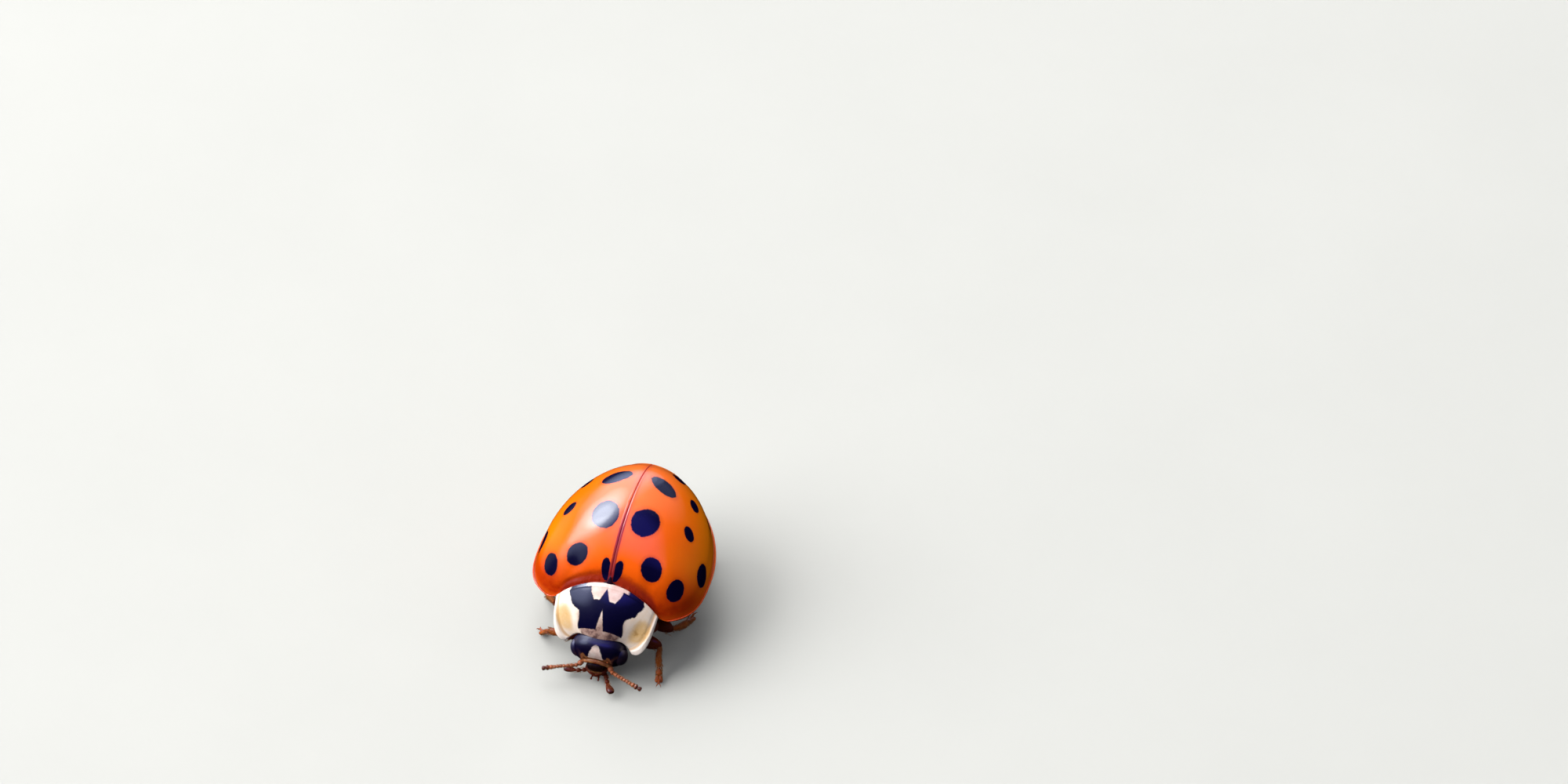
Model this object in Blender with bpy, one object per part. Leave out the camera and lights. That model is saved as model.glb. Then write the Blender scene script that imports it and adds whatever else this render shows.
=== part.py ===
"""A harlequin ladybird, Harmonia axyridis, as a still model at life size.

The beetle stands on its six feet on the floor at Z = 0 and faces -Y, so its left side is at +X.
Every place below is given in half-breadths of the closed wing cases, which is the natural unit of a
beetle this round: X from the middle, Y from the widest point, Z from the lower edge of the wing
cases. The function place() turns such a place into metres.
"""

import math

import bmesh
import bpy
from mathutils import Vector

MM = 0.001
HALF_BREADTH = 2.8 * MM  # of the closed wing cases; the one driving size
GAP = 0.05 * MM  # clearance between pieces that touch
LEAST = 0.5 * MM  # thickness of the wing cases, legs and feelers
SHELL = LEAST / HALF_BREADTH
CLEAR = GAP / HALF_BREADTH

STANCE = 0.65  # height of the wing cases' lower edge above the floor
MIDDLE = -0.0942  # halfway between the foremost and the rearmost point

# closed wing cases: plan outline, side profile and cross-section
CREST = 0.273
CREST_HEIGHT = 0.838
FORE_REACH, FORE_POWER = 1.036, 2.053
REAR_REACH, REAR_POWER = 1.021, 2.227
ARCH_POWER = 1.895
SHOULDER_REACH, SHOULDER_POWER = 0.80, 3.4
TAIL_REACH, TAIL_POWER = 1.282, 1.801
HUB = 0.2  # the point of the seam that the wing cases' mesh spreads from

# the line where the neck shield meets the wing cases
BASE_LINE, BASE_BOW = -0.668, 0.2

# neck shield
SHIELD_BREADTH = 0.60
SHIELD_FRONT_BREADTH = 0.355
SHIELD_SIDE_SWELL = 0.10
SHIELD_RISE = 0.075
SHIELD_CROWN = 0.03  # how far the middle of the hind edge stands above the wing cases
SHIELD_OUTWARD = Vector((0, -0.76, 0.65))  # the way the shield's middle swells
SHIELD_FRONT = (-1.07, -0.09)
SHIELD_CORNER_BACK, SHIELD_CORNER_DROP = 0.064, 0.23

# trunk under the wing cases
TRUNK_SCALE = (0.785, 0.80, 0.745)
BELLY_DEPTH, BELLY_EDGE, BELLY_ROUND = 0.22, 2.6, 0.7
WAIST = 0.22  # where the thorax ends and the abdomen starts

# head: a rounded block that hangs forward from under the neck shield
HEAD_CENTRE = (0.0, -1.035, -0.315)
HEAD_HALF = (0.315, 0.165, 0.255)
HEAD_LEAN = math.radians(24)
EYE_CENTRE = (0.255, -1.06, -0.335)
EYE_HALF = (0.10, 0.11, 0.175)

# small rounded pieces: middle and half-sizes
SCUTELLUM = ((0, -0.625, 0.35), (0.065, 0.09, 0.09))
PROTHORAX = ((0, -0.71, -0.16), (0.35, 0.16, 0.17))
LABRUM = ((0, -1.19, -0.43), (0.11, 0.08, 0.075))
MOUTHPARTS = ((0, -1.12, -0.555), (0.11, 0.10, 0.085))

# legs: centre line from the hip to the tip of the foot, left and right as the beetle stands
SOLE = 0.05 - STANCE
LEGS = {
    "fore_left": (
        (0.15, -0.66, -0.18),
        (0.19, -0.69, -0.37),
        (0.63, -0.79, -0.32),
        (0.66, -0.93, SOLE + 0.07),
        (0.69, -1.05, SOLE),
    ),
    "fore_right": (
        (-0.15, -0.66, -0.18),
        (-0.19, -0.69, -0.37),
        (-0.48, -0.85, -0.43),
        (-0.67, -0.80, -0.47),
        (-0.775, -0.71, SOLE),
    ),
    "mid_left": (
        (0.24, -0.37, -0.10),
        (0.29, -0.39, -0.35),
        (0.70, -0.56, -0.27),
        (0.77, -0.17, SOLE + 0.04),
        (0.79, 0.01, SOLE),
    ),
    "mid_right": (
        (-0.24, -0.37, -0.10),
        (-0.29, -0.39, -0.35),
        (-0.67, -0.54, -0.28),
        (-0.86, -0.21, SOLE + 0.04),
        (-0.89, -0.02, SOLE),
    ),
    "hind_left": (
        (0.22, 0.02, -0.10),
        (0.28, 0.04, -0.35),
        (0.66, 0.36, -0.29),
        (0.74, 0.70, SOLE + 0.04),
        (0.76, 0.88, SOLE),
    ),
    "hind_right": (
        (-0.22, 0.02, -0.10),
        (-0.28, 0.04, -0.35),
        (-0.66, 0.36, -0.29),
        (-0.75, 0.69, SOLE + 0.04),
        (-0.77, 0.86, SOLE),
    ),
}
SEGMENTS = ("coxa", "femur", "tibia", "tarsus")
LEG_RADII = {
    "coxa": (0.11, 0.12, 0.11, 0.10),
    "femur": (0.092, 0.105, 0.108, 0.102, 0.094),
    "tibia": (0.092, 0.090, 0.090, 0.092),
    "tarsus": (0.092, 0.096, 0.098, 0.092, 0.065),
}
LEG_RINGS = 8
END_RING = 0.6  # share of a limb's radius at its rounded ends
BEND_SHARE = 0.55  # where along a limb its route is steered
FEELER_RADII = (0.07, 0.08, 0.08, 0.08, 0.082, 0.085, 0.055)
PALP_RADII = (0.065, 0.078, 0.08, 0.082, 0.085, 0.055)
FEELER = ((0.19, -1.225, -0.415), (0.30, -1.29, -0.41), (0.44, -1.33, -0.43), (0.575, -1.355, -0.47))
PALPS = {
    "left": ((0.10, -1.14, -0.565), (0.17, -1.30, -0.56), (0.26, -1.44, -0.555)),
    "right": ((-0.10, -1.14, -0.565), (-0.23, -1.195, -0.565), (-0.375, -1.20, -0.56)),
}

SHELL_ORANGE = ((0.87, 0.16, 0.012), 0.18)
SCUTELLUM_DARK = ((0.05, 0.01, 0.015), 0.3)
SHIELD_CREAM = ((0.93, 0.86, 0.78), 0.25)
HEAD_INK = ((0.012, 0.008, 0.035), 0.25)
EYE_INK = ((0.006, 0.005, 0.02), 0.12)
BODY_BROWN = ((0.10, 0.035, 0.015), 0.4)
LEG_BROWN = ((0.30, 0.085, 0.025), 0.35)
MOUTH_BROWN = ((0.06, 0.012, 0.008), 0.35)


def place(x, y, z):
    """Metres in the model's frame from half-breadths in the beetle's own."""
    return Vector((x, y - MIDDLE, z + STANCE)) * HALF_BREADTH


def clear_scene():
    for found in list(bpy.data.objects):
        bpy.data.objects.remove(found, do_unlink=True)


def collection(name):
    made = bpy.data.collections.new(name)
    bpy.context.scene.collection.children.link(made)
    return made


def material(name, look):
    colour, roughness = look
    made = bpy.data.materials.new(name)
    made.use_nodes = True
    shader = made.node_tree.nodes["Principled BSDF"]
    shader.inputs["Base Color"].default_value = (*colour, 1.0)
    shader.inputs["Roughness"].default_value = roughness
    shader.inputs["Metallic"].default_value = 0.0
    return made


def add_object(name, bm, look, where):
    """A mesh object from bm, shaded smooth, with its own material, in the collection where."""
    bmesh.ops.recalc_face_normals(bm, faces=bm.faces[:])
    mesh = bpy.data.meshes.new(name)
    bm.to_mesh(mesh)
    bm.free()
    mesh.shade_smooth()
    mesh.set_sharp_from_angle(angle=math.radians(50))
    made = bpy.data.objects.new(name, mesh)
    mesh.materials.append(material(name, look))
    where.objects.link(made)
    return made


# ---------------------------------------------------------------- wing cases


def half_breadth(y):
    """Half the breadth of the closed wing cases at y, in plan."""
    if y < 0:
        return max(0.0, 1 - (-y / SHOULDER_REACH) ** SHOULDER_POWER) ** (1 / SHOULDER_POWER)
    return max(0.0, 1 - (y / TAIL_REACH) ** TAIL_POWER) ** 0.5


def ridge_height(y):
    """Height of the seam above the lower edge."""
    reach, power = (FORE_REACH, FORE_POWER) if y < CREST else (REAR_REACH, REAR_POWER)
    return CREST_HEIGHT * max(0.0, 1 - (abs(y - CREST) / reach) ** power) ** 0.5


def dome_height(x, y):
    """Height of the wing cases' surface above the lower edge."""
    breadth = half_breadth(y)
    if abs(x) >= breadth:
        return 0.0
    return ridge_height(y) * (1 - (abs(x) / breadth) ** ARCH_POWER) ** 0.5


def base_line(x):
    return BASE_LINE - BASE_BOW * x * x


def outline_reach(angle):
    """Distance in plan from the hub to the edge of the wing cases."""
    inside, outside = 0.0, 2.0
    for _ in range(40):
        middle = (inside + outside) / 2
        x, y = middle * math.cos(angle), HUB + middle * math.sin(angle)
        if abs(x) < half_breadth(y) and y > base_line(x):
            inside = middle
        else:
            outside = middle
    return inside


def wing_case_point(along, around, side):
    """A point of one wing case: along runs from the hub to the edge, around from front to tail."""
    angle = math.pi * (around - 0.5)
    reach = outline_reach(angle) * math.sin(along * math.pi / 2)
    x = max(0.0, reach * math.cos(angle))
    y = HUB + reach * math.sin(angle)
    return Vector((side * x, y, dome_height(x, y)))


def shell_from(bm, inner):
    """Close the open surface bm into a shell whose second skin lies at inner(vertex)."""
    skin = bm.faces[:]
    made = bmesh.ops.extrude_face_region(bm, geom=skin, use_keep_orig=True)
    for vertex in [g for g in made["geom"] if isinstance(g, bmesh.types.BMVert)]:
        vertex.co = inner(vertex)


def mapped_grid(across, along, point):
    """A grid of faces with its corner values u and v in 0..1 moved to point(u, v)."""
    bm = bmesh.new()
    bmesh.ops.create_grid(bm, x_segments=across, y_segments=along, size=1.0)
    for vertex in bm.verts:
        vertex.co = point((vertex.co.x + 1) / 2, (vertex.co.y + 1) / 2)
    bmesh.ops.remove_doubles(bm, verts=bm.verts[:], dist=1e-5)
    return bm


def to_metres(bm):
    for vertex in bm.verts:
        vertex.co = place(*vertex.co)


def add_wing_case(name, side, where):
    bm = mapped_grid(8, 22, lambda u, v: wing_case_point(u, v, side))

    def inner(vertex):
        x, y, z = vertex.co
        return Vector((x * (1 - SHELL), HUB + (y - HUB) * (1 - SHELL), z * (1 - SHELL / CREST_HEIGHT)))

    shell_from(bm, inner)
    for vertex in bm.verts:
        vertex.co.x = side * (CLEAR / 2 + abs(vertex.co.x) * (1 - CLEAR / 2))
    to_metres(bm)
    return add_object(name, bm, SHELL_ORANGE, where)


# ---------------------------------------------------------------- neck shield


def shield_edge_back(s):
    x = SHIELD_BREADTH * s
    y = base_line(x) - CLEAR
    return Vector((x, y, dome_height(x, y) + SHIELD_CROWN * (1 - s * s)))


def shield_edge_front(s):
    y, z = SHIELD_FRONT
    x = SHIELD_FRONT_BREADTH * s
    return Vector((x, y + SHIELD_CORNER_BACK * s * s, z - SHIELD_CORNER_DROP * s**4))


def shield_point(u, v):
    """A point of the neck shield: u from its right side to its left, v from back to front."""
    s = 2 * u - 1
    swell = 4 * v * (1 - v)
    point = shield_edge_back(s).lerp(shield_edge_front(s), v)
    point.x += SHIELD_SIDE_SWELL * swell * s * abs(s)
    point += SHIELD_OUTWARD * SHIELD_RISE * swell * (1 - 0.4 * s * s)
    return point


def add_shield(where):
    bm = mapped_grid(12, 7, shield_point)
    bm.normal_update()
    flip = -1 if sum(v.normal.z for v in bm.verts) < 0 else 1

    def inner(vertex):
        return vertex.co - flip * vertex.normal * SHELL

    shell_from(bm, inner)
    to_metres(bm)
    return add_object("pronotum", bm, SHIELD_CREAM, where)


# ---------------------------------------------------------------- rounded solids


def ball(centre, half, lean=0.0, blunt=2.0, segments=16, rings=10):
    """A superellipsoid about centre, in half-breadths, leaning forward about X by lean."""
    bm = bmesh.new()
    bmesh.ops.create_uvsphere(bm, u_segments=segments, v_segments=rings, radius=1.0)
    turn = Vector((0, math.cos(lean), math.sin(lean))), Vector((0, -math.sin(lean), math.cos(lean)))
    for vertex in bm.verts:
        size = sum(abs(c) ** blunt for c in vertex.co) ** (1 / blunt)
        x, y, z = (c / size * h for c, h in zip(vertex.co, half))
        vertex.co = Vector(centre) + Vector((x, 0, 0)) + turn[0] * y + turn[1] * z
    return bm


def trunk(segments=24, rings=12):
    """The thorax and abdomen as one solid that fills the wing cases and bulges below them."""
    bm = bmesh.new()
    bmesh.ops.create_uvsphere(bm, u_segments=segments, v_segments=rings, radius=1.0)
    wide, long, tall = TRUNK_SCALE
    for vertex in bm.verts:
        nx, ny, nz = vertex.co
        spread = min(1.0, math.hypot(nx, ny))
        angle = math.atan2(ny, abs(nx))
        reach = outline_reach(angle) * spread
        x = reach * math.cos(angle)
        y = HUB + reach * math.sin(angle)
        if nz > 1e-4:
            z = dome_height(x, y) * tall
        elif nz < -1e-4:
            z = -BELLY_DEPTH * (1 - spread**BELLY_EDGE) ** BELLY_ROUND
        else:
            z = 0.0
        vertex.co = Vector((math.copysign(x * wide, nx), HUB + (y - HUB) * long, z))
    return bm


def keep_side(bm, point, normal):
    """Cut bm with a plane and keep what lies on the side that normal points to."""
    everything = bm.verts[:] + bm.edges[:] + bm.faces[:]
    cut = bmesh.ops.bisect_plane(
        bm, geom=everything, dist=1e-7, plane_co=point, plane_no=normal, clear_inner=True
    )
    rim = [g for g in cut["geom_cut"] if isinstance(g, bmesh.types.BMEdge)]
    if rim:
        bmesh.ops.edgeloop_fill(bm, edges=rim)


def carve(body, neighbours, cutters):
    """Cut from body each neighbour grown by the clearance, so that the two just fail to touch."""
    for neighbour in neighbours:
        grown = neighbour.copy()
        grown.data = neighbour.data.copy()
        grown.name = "cut_" + neighbour.name
        grown.modifiers.clear()
        for vertex in grown.data.vertices:
            vertex.co += vertex.normal * GAP
        grown.hide_render = True
        grown.display_type = "WIRE"
        cutters.objects.link(grown)
        cut = body.modifiers.new("clear of " + neighbour.name, "BOOLEAN")
        cut.operation = "DIFFERENCE"
        cut.solver = "EXACT"
        cut.object = grown


# ---------------------------------------------------------------- limbs


def smooth_route(points, count):
    """count places along a smooth curve through points."""
    knots = [Vector(p) for p in points]
    padded = [knots[0] * 2 - knots[1], *knots, knots[-1] * 2 - knots[-2]]
    spans = len(knots) - 1
    route = []
    for i in range(count):
        where = min(i / (count - 1) * spans, spans - 1e-6)
        k = int(where)
        t = where - k
        a, b, c, d = padded[k : k + 4]
        bend = (2 * a - 5 * b + 4 * c - d) * t * t + (3 * b - a - 3 * c + d) * t**3
        route.append(0.5 * (2 * b + (c - a) * t + bend))
    return route


def tube_mesh(route, radii):
    """A closed tube along route, in half-breadths, as a bmesh made from a bevelled curve."""
    curve = bpy.data.curves.new("tube", "CURVE")
    curve.dimensions = "3D"
    curve.bevel_depth = 1.0
    curve.bevel_resolution = 2
    curve.use_fill_caps = True
    spline = curve.splines.new("POLY")
    spline.points.add(len(route) - 1)
    for i, (point, knot) in enumerate(zip(spline.points, route)):
        at = i / (len(route) - 1) * (len(radii) - 1)
        low = min(int(at), len(radii) - 2)
        point.co = (*knot, 1.0)
        point.radius = radii[low] + (radii[low + 1] - radii[low]) * (at - low)
    holder = bpy.data.objects.new("tube", curve)
    bpy.context.scene.collection.objects.link(holder)
    evaluated = holder.evaluated_get(bpy.context.evaluated_depsgraph_get())
    bm = bmesh.new()
    bm.from_mesh(bpy.data.meshes.new_from_object(evaluated))
    bpy.data.objects.remove(holder, do_unlink=True)
    bmesh.ops.remove_doubles(bm, verts=bm.verts[:], dist=1e-5)
    return bm


def rounded(radii):
    """Radii with one smaller ring before and after, for round ends."""
    return (radii[0] * END_RING, *radii, radii[-1] * END_RING)


def add_leg(leg, where):
    """The four pieces of one leg, mitred where they meet and flat where the foot stands."""
    joints = [Vector(p) for p in LEGS[leg]]
    runs = [(b - a).normalized() for a, b in zip(joints, joints[1:])]
    pieces = []
    for i, segment in enumerate(SEGMENTS):
        start, end, run = joints[i], joints[i + 1], runs[i]
        radii = LEG_RADII[segment]
        overrun = radii[0]
        first, last = i == 0, i == len(SEGMENTS) - 1
        a = start if first else start - run * overrun
        b = end if last else end + run * overrun
        middle = start.lerp(end, BEND_SHARE)
        if last:
            middle.z = end.z
        ringed = rounded(radii) if first or last else radii
        bm = tube_mesh(smooth_route((a, middle, b), LEG_RINGS), ringed)
        if not first:
            mitre = (runs[i - 1] + run).normalized()
            keep_side(bm, start + mitre * CLEAR / 2, mitre)
        if not last:
            mitre = -(run + runs[i + 1]).normalized()
            keep_side(bm, end + mitre * CLEAR / 2, mitre)
        for vertex in bm.verts:
            vertex.co.z = max(vertex.co.z, -STANCE)
        to_metres(bm)
        pieces.append(add_object(f"{segment}_{leg}", bm, LEG_BROWN, where))
    return pieces


def add_feeler(name, points, radii, count, where, look):
    route = smooth_route(points, count)
    bm = tube_mesh(route, radii)
    to_metres(bm)
    return add_object(name, bm, look, where)


# ---------------------------------------------------------------- assembly


def add_trunk(where):
    thorax = trunk()
    keep_side(thorax, (0, WAIST - CLEAR / 2, 0), (0, -1, 0))
    to_metres(thorax)
    abdomen = trunk()
    keep_side(abdomen, (0, WAIST + CLEAR / 2, 0), (0, 1, 0))
    to_metres(abdomen)
    fore = add_object("thorax", thorax, BODY_BROWN, where)
    return fore, add_object("abdomen", abdomen, BODY_BROWN, where)


def add_ball(name, size, look, where, **shape):
    centre, half = size
    bm = ball(centre, half, **shape)
    to_metres(bm)
    return add_object(name, bm, look, where)


def mirrored(point, side):
    x, y, z = point
    return (side * x, y, z)


def build():
    clear_scene()
    parts = collection("ladybird")
    cutters = collection("cutters")

    left_case = add_wing_case("elytron_left", 1, parts)
    right_case = add_wing_case("elytron_right", -1, parts)
    scutellum = add_ball("scutellum", SCUTELLUM, SCUTELLUM_DARK, parts, segments=12, rings=8)
    shield = add_shield(parts)
    thorax, _ = add_trunk(parts)
    prothorax = add_ball("prothorax", PROTHORAX, BODY_BROWN, parts, blunt=2.2)
    head_shape = {"lean": HEAD_LEAN, "blunt": 2.4, "segments": 18, "rings": 12}
    head = add_ball("head", (HEAD_CENTRE, HEAD_HALF), HEAD_INK, parts, **head_shape)
    eyes = []
    feelers = []
    for name, side in (("left", 1), ("right", -1)):
        eye_size = (mirrored(EYE_CENTRE, side), EYE_HALF)
        eyes.append(add_ball(f"eye_{name}", eye_size, EYE_INK, parts, lean=HEAD_LEAN, segments=12, rings=8))
        points = [mirrored(p, side) for p in FEELER]
        feelers.append(add_feeler(f"antenna_{name}", points, FEELER_RADII, 14, parts, LEG_BROWN))
    labrum = add_ball("labrum", LABRUM, MOUTH_BROWN, parts, blunt=2.6, segments=14, rings=8)
    mouth = add_ball("mouthparts", MOUTHPARTS, MOUTH_BROWN, parts, segments=14, rings=8)
    palps = [
        add_feeler(f"palp_{name}", points, PALP_RADII, 9, parts, LEG_BROWN) for name, points in PALPS.items()
    ]
    legs = {leg: add_leg(leg, parts) for leg in LEGS}

    carve(left_case, [scutellum], cutters)
    carve(right_case, [scutellum], cutters)
    carve(shield, [scutellum, *eyes], cutters)
    hips = [legs[leg][0] for leg in LEGS if not leg.startswith("fore")]
    carve(thorax, [*hips, scutellum], cutters)
    carve(prothorax, [*legs["fore_left"][:2], *legs["fore_right"][:2]], cutters)
    carve(head, [*eyes, labrum, mouth, shield, *feelers], cutters)
    carve(mouth, [labrum, *palps], cutters)


build()
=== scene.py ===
"""A harlequin ladybird at life size: the finished surface of every part, built round its solid frame.

The beetle faces -Y, so its left side is at +X. Places are given in half-breadths of the closed wing
cases: X from the middle, Y from the widest point towards the tail, Z from the wing cases' lower edge.
in_metres() turns such places into metres in the frame's own space.
"""

import math

import bmesh
import bpy
import numpy as np
from mathutils import Matrix, Quaternion, Vector


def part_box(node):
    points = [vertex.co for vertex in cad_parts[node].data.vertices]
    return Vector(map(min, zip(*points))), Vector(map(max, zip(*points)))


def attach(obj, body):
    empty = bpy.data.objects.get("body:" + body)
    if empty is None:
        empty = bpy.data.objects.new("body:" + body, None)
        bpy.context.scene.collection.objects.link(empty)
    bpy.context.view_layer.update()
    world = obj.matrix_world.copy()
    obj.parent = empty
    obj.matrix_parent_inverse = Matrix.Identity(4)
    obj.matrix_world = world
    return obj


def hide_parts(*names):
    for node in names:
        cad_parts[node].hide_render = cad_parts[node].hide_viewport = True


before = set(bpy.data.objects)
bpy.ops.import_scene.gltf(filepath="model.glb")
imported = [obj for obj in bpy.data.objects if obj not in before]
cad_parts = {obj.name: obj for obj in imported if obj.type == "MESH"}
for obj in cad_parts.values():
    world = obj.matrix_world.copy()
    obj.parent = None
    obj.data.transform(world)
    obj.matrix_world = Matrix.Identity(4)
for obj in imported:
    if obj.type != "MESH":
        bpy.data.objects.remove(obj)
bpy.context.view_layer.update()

BODY = "root"
SIDES = {"left": 1.0, "right": -1.0}

# the frame gives the unit, the height that the wing cases ride at and the tail's place
TAIL_REACH, TAIL_POWER = 1.282, 1.801
case_low, case_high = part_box("elytron_left")
HALF_BREADTH = case_high.x
STANCE = case_low.z / HALF_BREADTH
MIDDLE = TAIL_REACH - case_high.y / HALF_BREADTH
FLOOR = -STANCE

# closed wing cases: plan outline, side profile and cross-section
CREST, CREST_HEIGHT = 0.273, 0.838
FORE_REACH, FORE_POWER = 1.036, 2.053
REAR_REACH, REAR_POWER = 1.021, 2.227
ARCH_POWER = 1.895
SHOULDER_REACH, SHOULDER_POWER = 0.80, 3.4
HUB = 0.2  # Y of the place on the seam that a wing case spreads from
BASE_LINE, BASE_BOW = -0.668, 0.2
SHOULDER_ROUND = 0.05
CASE_RIM = 0.020  # breadth of the gutter and bead round each wing case
CASE_BEAD = 0.0075  # radius of the bead
CASE_SHARE = 0.993  # height of the finished wing cases, for their small relief to stay inside the solid
LINING_SPREAD, LINING_SHARE = 0.968, 0.955  # breadth and height of the inner face beside the outer one
SEAM_GAP = 0.0012  # half the gap between the closed wing cases
BASED_FROM, BASED_TO = 0.06, 0.16  # heights of the edge where it turns from the side into the base
UNDERFOLD_LEAST, UNDERFOLD_MORE = 0.035, 0.175  # breadth at the tail and what the shoulder adds
UNDERFOLD_INSET, UNDERFOLD_THICKNESS = 0.018, 0.016

# neck shield
SHIELD_BREADTH, SHIELD_FRONT_BREADTH = 0.60, 0.345
SHIELD_SIDE_SWELL, SHIELD_RISE = 0.070, 0.075
SHIELD_FRONT_Y, SHIELD_FRONT_Z = -1.110, -0.09
SHIELD_CORNER_BACK, SHIELD_CORNER_DROP = 0.170, 0.22
SHIELD_HORN = 0.225  # how far the front corners reach forward beside the head
SHIELD_CORNER_ROUND = 0.06  # share of the sides that the front corners' rounding takes
SHIELD_STRIP_Y, SHIELD_STRIP_BOW = -1.07, 0.064  # where the black mark's front end lies
SHIELD_GAP = 0.018
SHIELD_HALF_THICKNESS = SHIELD_EDGE_ROUND = 0.022
SHIELD_BULGE = np.array((0, -0.76, 0.65))  # the way that its middle rises
SHIELD_SIDE_SCALE, SHIELD_END_SCALE = 0.52, 0.55  # lengths of s and v on the shield's surface

# head
HEAD_CENTRE = np.array((0.0, -1.035, -0.315))
HEAD_HALF = np.array((0.312, 0.163, 0.252))
HEAD_LEAN = math.radians(24)
HEAD_BLUNT = 2.4
EYE_CENTRE = np.array((0.238, -1.055, -0.325))
EYE_HALF = np.array((0.090, 0.104, 0.165))
HEAD_BACK = np.array((0.0, math.cos(HEAD_LEAN), math.sin(HEAD_LEAN)))
HEAD_UP = np.array((0.0, -math.sin(HEAD_LEAN), math.cos(HEAD_LEAN)))

# feet: where the joints end, as shares of the way from the ankle to the toe, and heights on the floor
FOOT_SHARES = (0.34, 0.70, 1.12)
FOOT_LEAST = 0.16  # length of the shortest foot
PAD_HEIGHT, CLAW_HEIGHT = FLOOR + 0.034, FLOOR + 0.050

# legs: each pair's hip and trochanter on the left, then each leg's knee, ankle and toe as it stands
SOLE = 0.05 + FLOOR
HIPS = {
    "fore": ((0.15, -0.66, -0.18), (0.19, -0.69, -0.37)),
    "mid": ((0.24, -0.37, -0.10), (0.29, -0.39, -0.35)),
    "hind": ((0.22, 0.02, -0.10), (0.28, 0.04, -0.35)),
}
LEGS = {
    "fore_left": ((0.63, -0.79, -0.32), (0.66, -0.93, SOLE + 0.07), (0.69, -1.05, SOLE)),
    "fore_right": ((-0.48, -0.85, -0.43), (-0.67, -0.80, -0.47), (-0.775, -0.71, SOLE)),
    "mid_left": ((0.70, -0.56, -0.27), (0.77, -0.17, SOLE + 0.04), (0.79, 0.01, SOLE)),
    "mid_right": ((-0.67, -0.54, -0.28), (-0.86, -0.21, SOLE + 0.04), (-0.89, -0.02, SOLE)),
    "hind_left": ((0.66, 0.36, -0.29), (0.74, 0.70, SOLE + 0.04), (0.76, 0.88, SOLE)),
    "hind_right": ((-0.66, 0.36, -0.29), (-0.75, 0.69, SOLE + 0.04), (-0.77, 0.86, SOLE)),
}
FEELER = (
    (0.15, -1.15, -0.41),
    (0.20, -1.235, -0.42),
    (0.30, -1.29, -0.41),
    (0.44, -1.33, -0.43),
    (0.575, -1.355, -0.47),
)
PALPS = {
    "left": (
        (0.075, -1.11, -0.565),
        (0.10, -1.15, -0.565),
        (0.17, -1.30, -0.56),
        (0.25, -1.42, -0.555),
    ),
    "right": (
        (-0.06, -1.12, -0.565),
        (-0.11, -1.15, -0.565),
        (-0.23, -1.195, -0.565),
        (-0.365, -1.20, -0.56),
    ),
}
ABOVE = (0, 0, 1)

# trunk
SEGMENT_ENDS = (0.235, 0.50, 0.665, 0.80, 0.92, 1.03, 1.20)
WAIST_Y = -0.64

# eyes and bristles
LENSES = 1300
LENS_SPACING, LENS_BULGE = 1.9, 0.035
BRISTLE_RINGS = 4
BRISTLE_TURNS = (0.0, 2.0944, 4.1888)  # thirds of a turn
PATCH = 0.003  # breadth of one bristle's place on the unwrap

# camera and lamps, as directions round the beetle
CAMERA_AZIMUTH, CAMERA_ELEVATION = 16.35, 47.6
CAMERA_DISTANCE = 84.0
CAMERA_LENS, CAMERA_SENSOR = 172.2, 36.0
CAMERA_PAN, CAMERA_TILT = 1.207, 1.315
LAMP_DISTANCE = 0.45  # metres
LAMP_TARGET = (0, -0.1, 0.2)
SHINE_SIZES = (1.15, 1.0, 0.85, 0.7)  # of the ovals in one patch of shine
SWEEP_RADIUS, SWEEP_BEND = 0.8, 0.3  # metres


def in_metres(points):
    """Metres in the frame's space from places in half-breadths."""
    return (np.asarray(points, float) + (0.0, -MIDDLE, STANCE)) * HALF_BREADTH


def mixed(low, high, share):
    return low + (high - low) * share


def bell(value, middle, width):
    """A smooth hump of height 1 about middle."""
    return np.exp(-(((value - middle) / width) ** 2))


def arch(value, middle, reach, power):
    """1 at middle, 0 from reach outwards and rounder between them the higher the power."""
    return np.clip(1 - np.abs((value - middle) / reach) ** power, 0, 1)


def full_turn(count):
    return np.linspace(0, 2 * math.pi, count, endpoint=False)


def closer_at_ends(count):
    """Numbers from 0 to 1, closer together towards both."""
    return 0.5 - 0.5 * np.cos(np.linspace(0, math.pi, count))


def ease(value, low, high):
    """0 below low, 1 above high and smooth between them."""
    share = np.clip((value - low) / (high - low), 0.0, 1.0)
    return share * share * (3.0 - 2.0 * share)


# ---- materials


def rgb(red, green, blue):
    return (red, green, blue, 1.0)


class Value:
    """A number made by a material's nodes, for use in ordinary sums."""

    def __init__(self, finish, socket):
        self.finish = finish
        self.socket = socket

    def __add__(self, other):
        return self.finish.sum("ADD", self, other)

    def __sub__(self, other):
        return self.finish.sum("SUBTRACT", self, other)

    def __rsub__(self, other):
        return self.finish.sum("SUBTRACT", other, self)

    def __mul__(self, other):
        return self.finish.sum("MULTIPLY", self, other)

    def __truediv__(self, other):
        return self.finish.sum("DIVIDE", self, other)

    def __pow__(self, other):
        return self.finish.sum("POWER", self, other)

    def __abs__(self):
        return self.finish.sum("ABSOLUTE", self)

    __radd__ = __add__
    __rmul__ = __mul__


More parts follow.
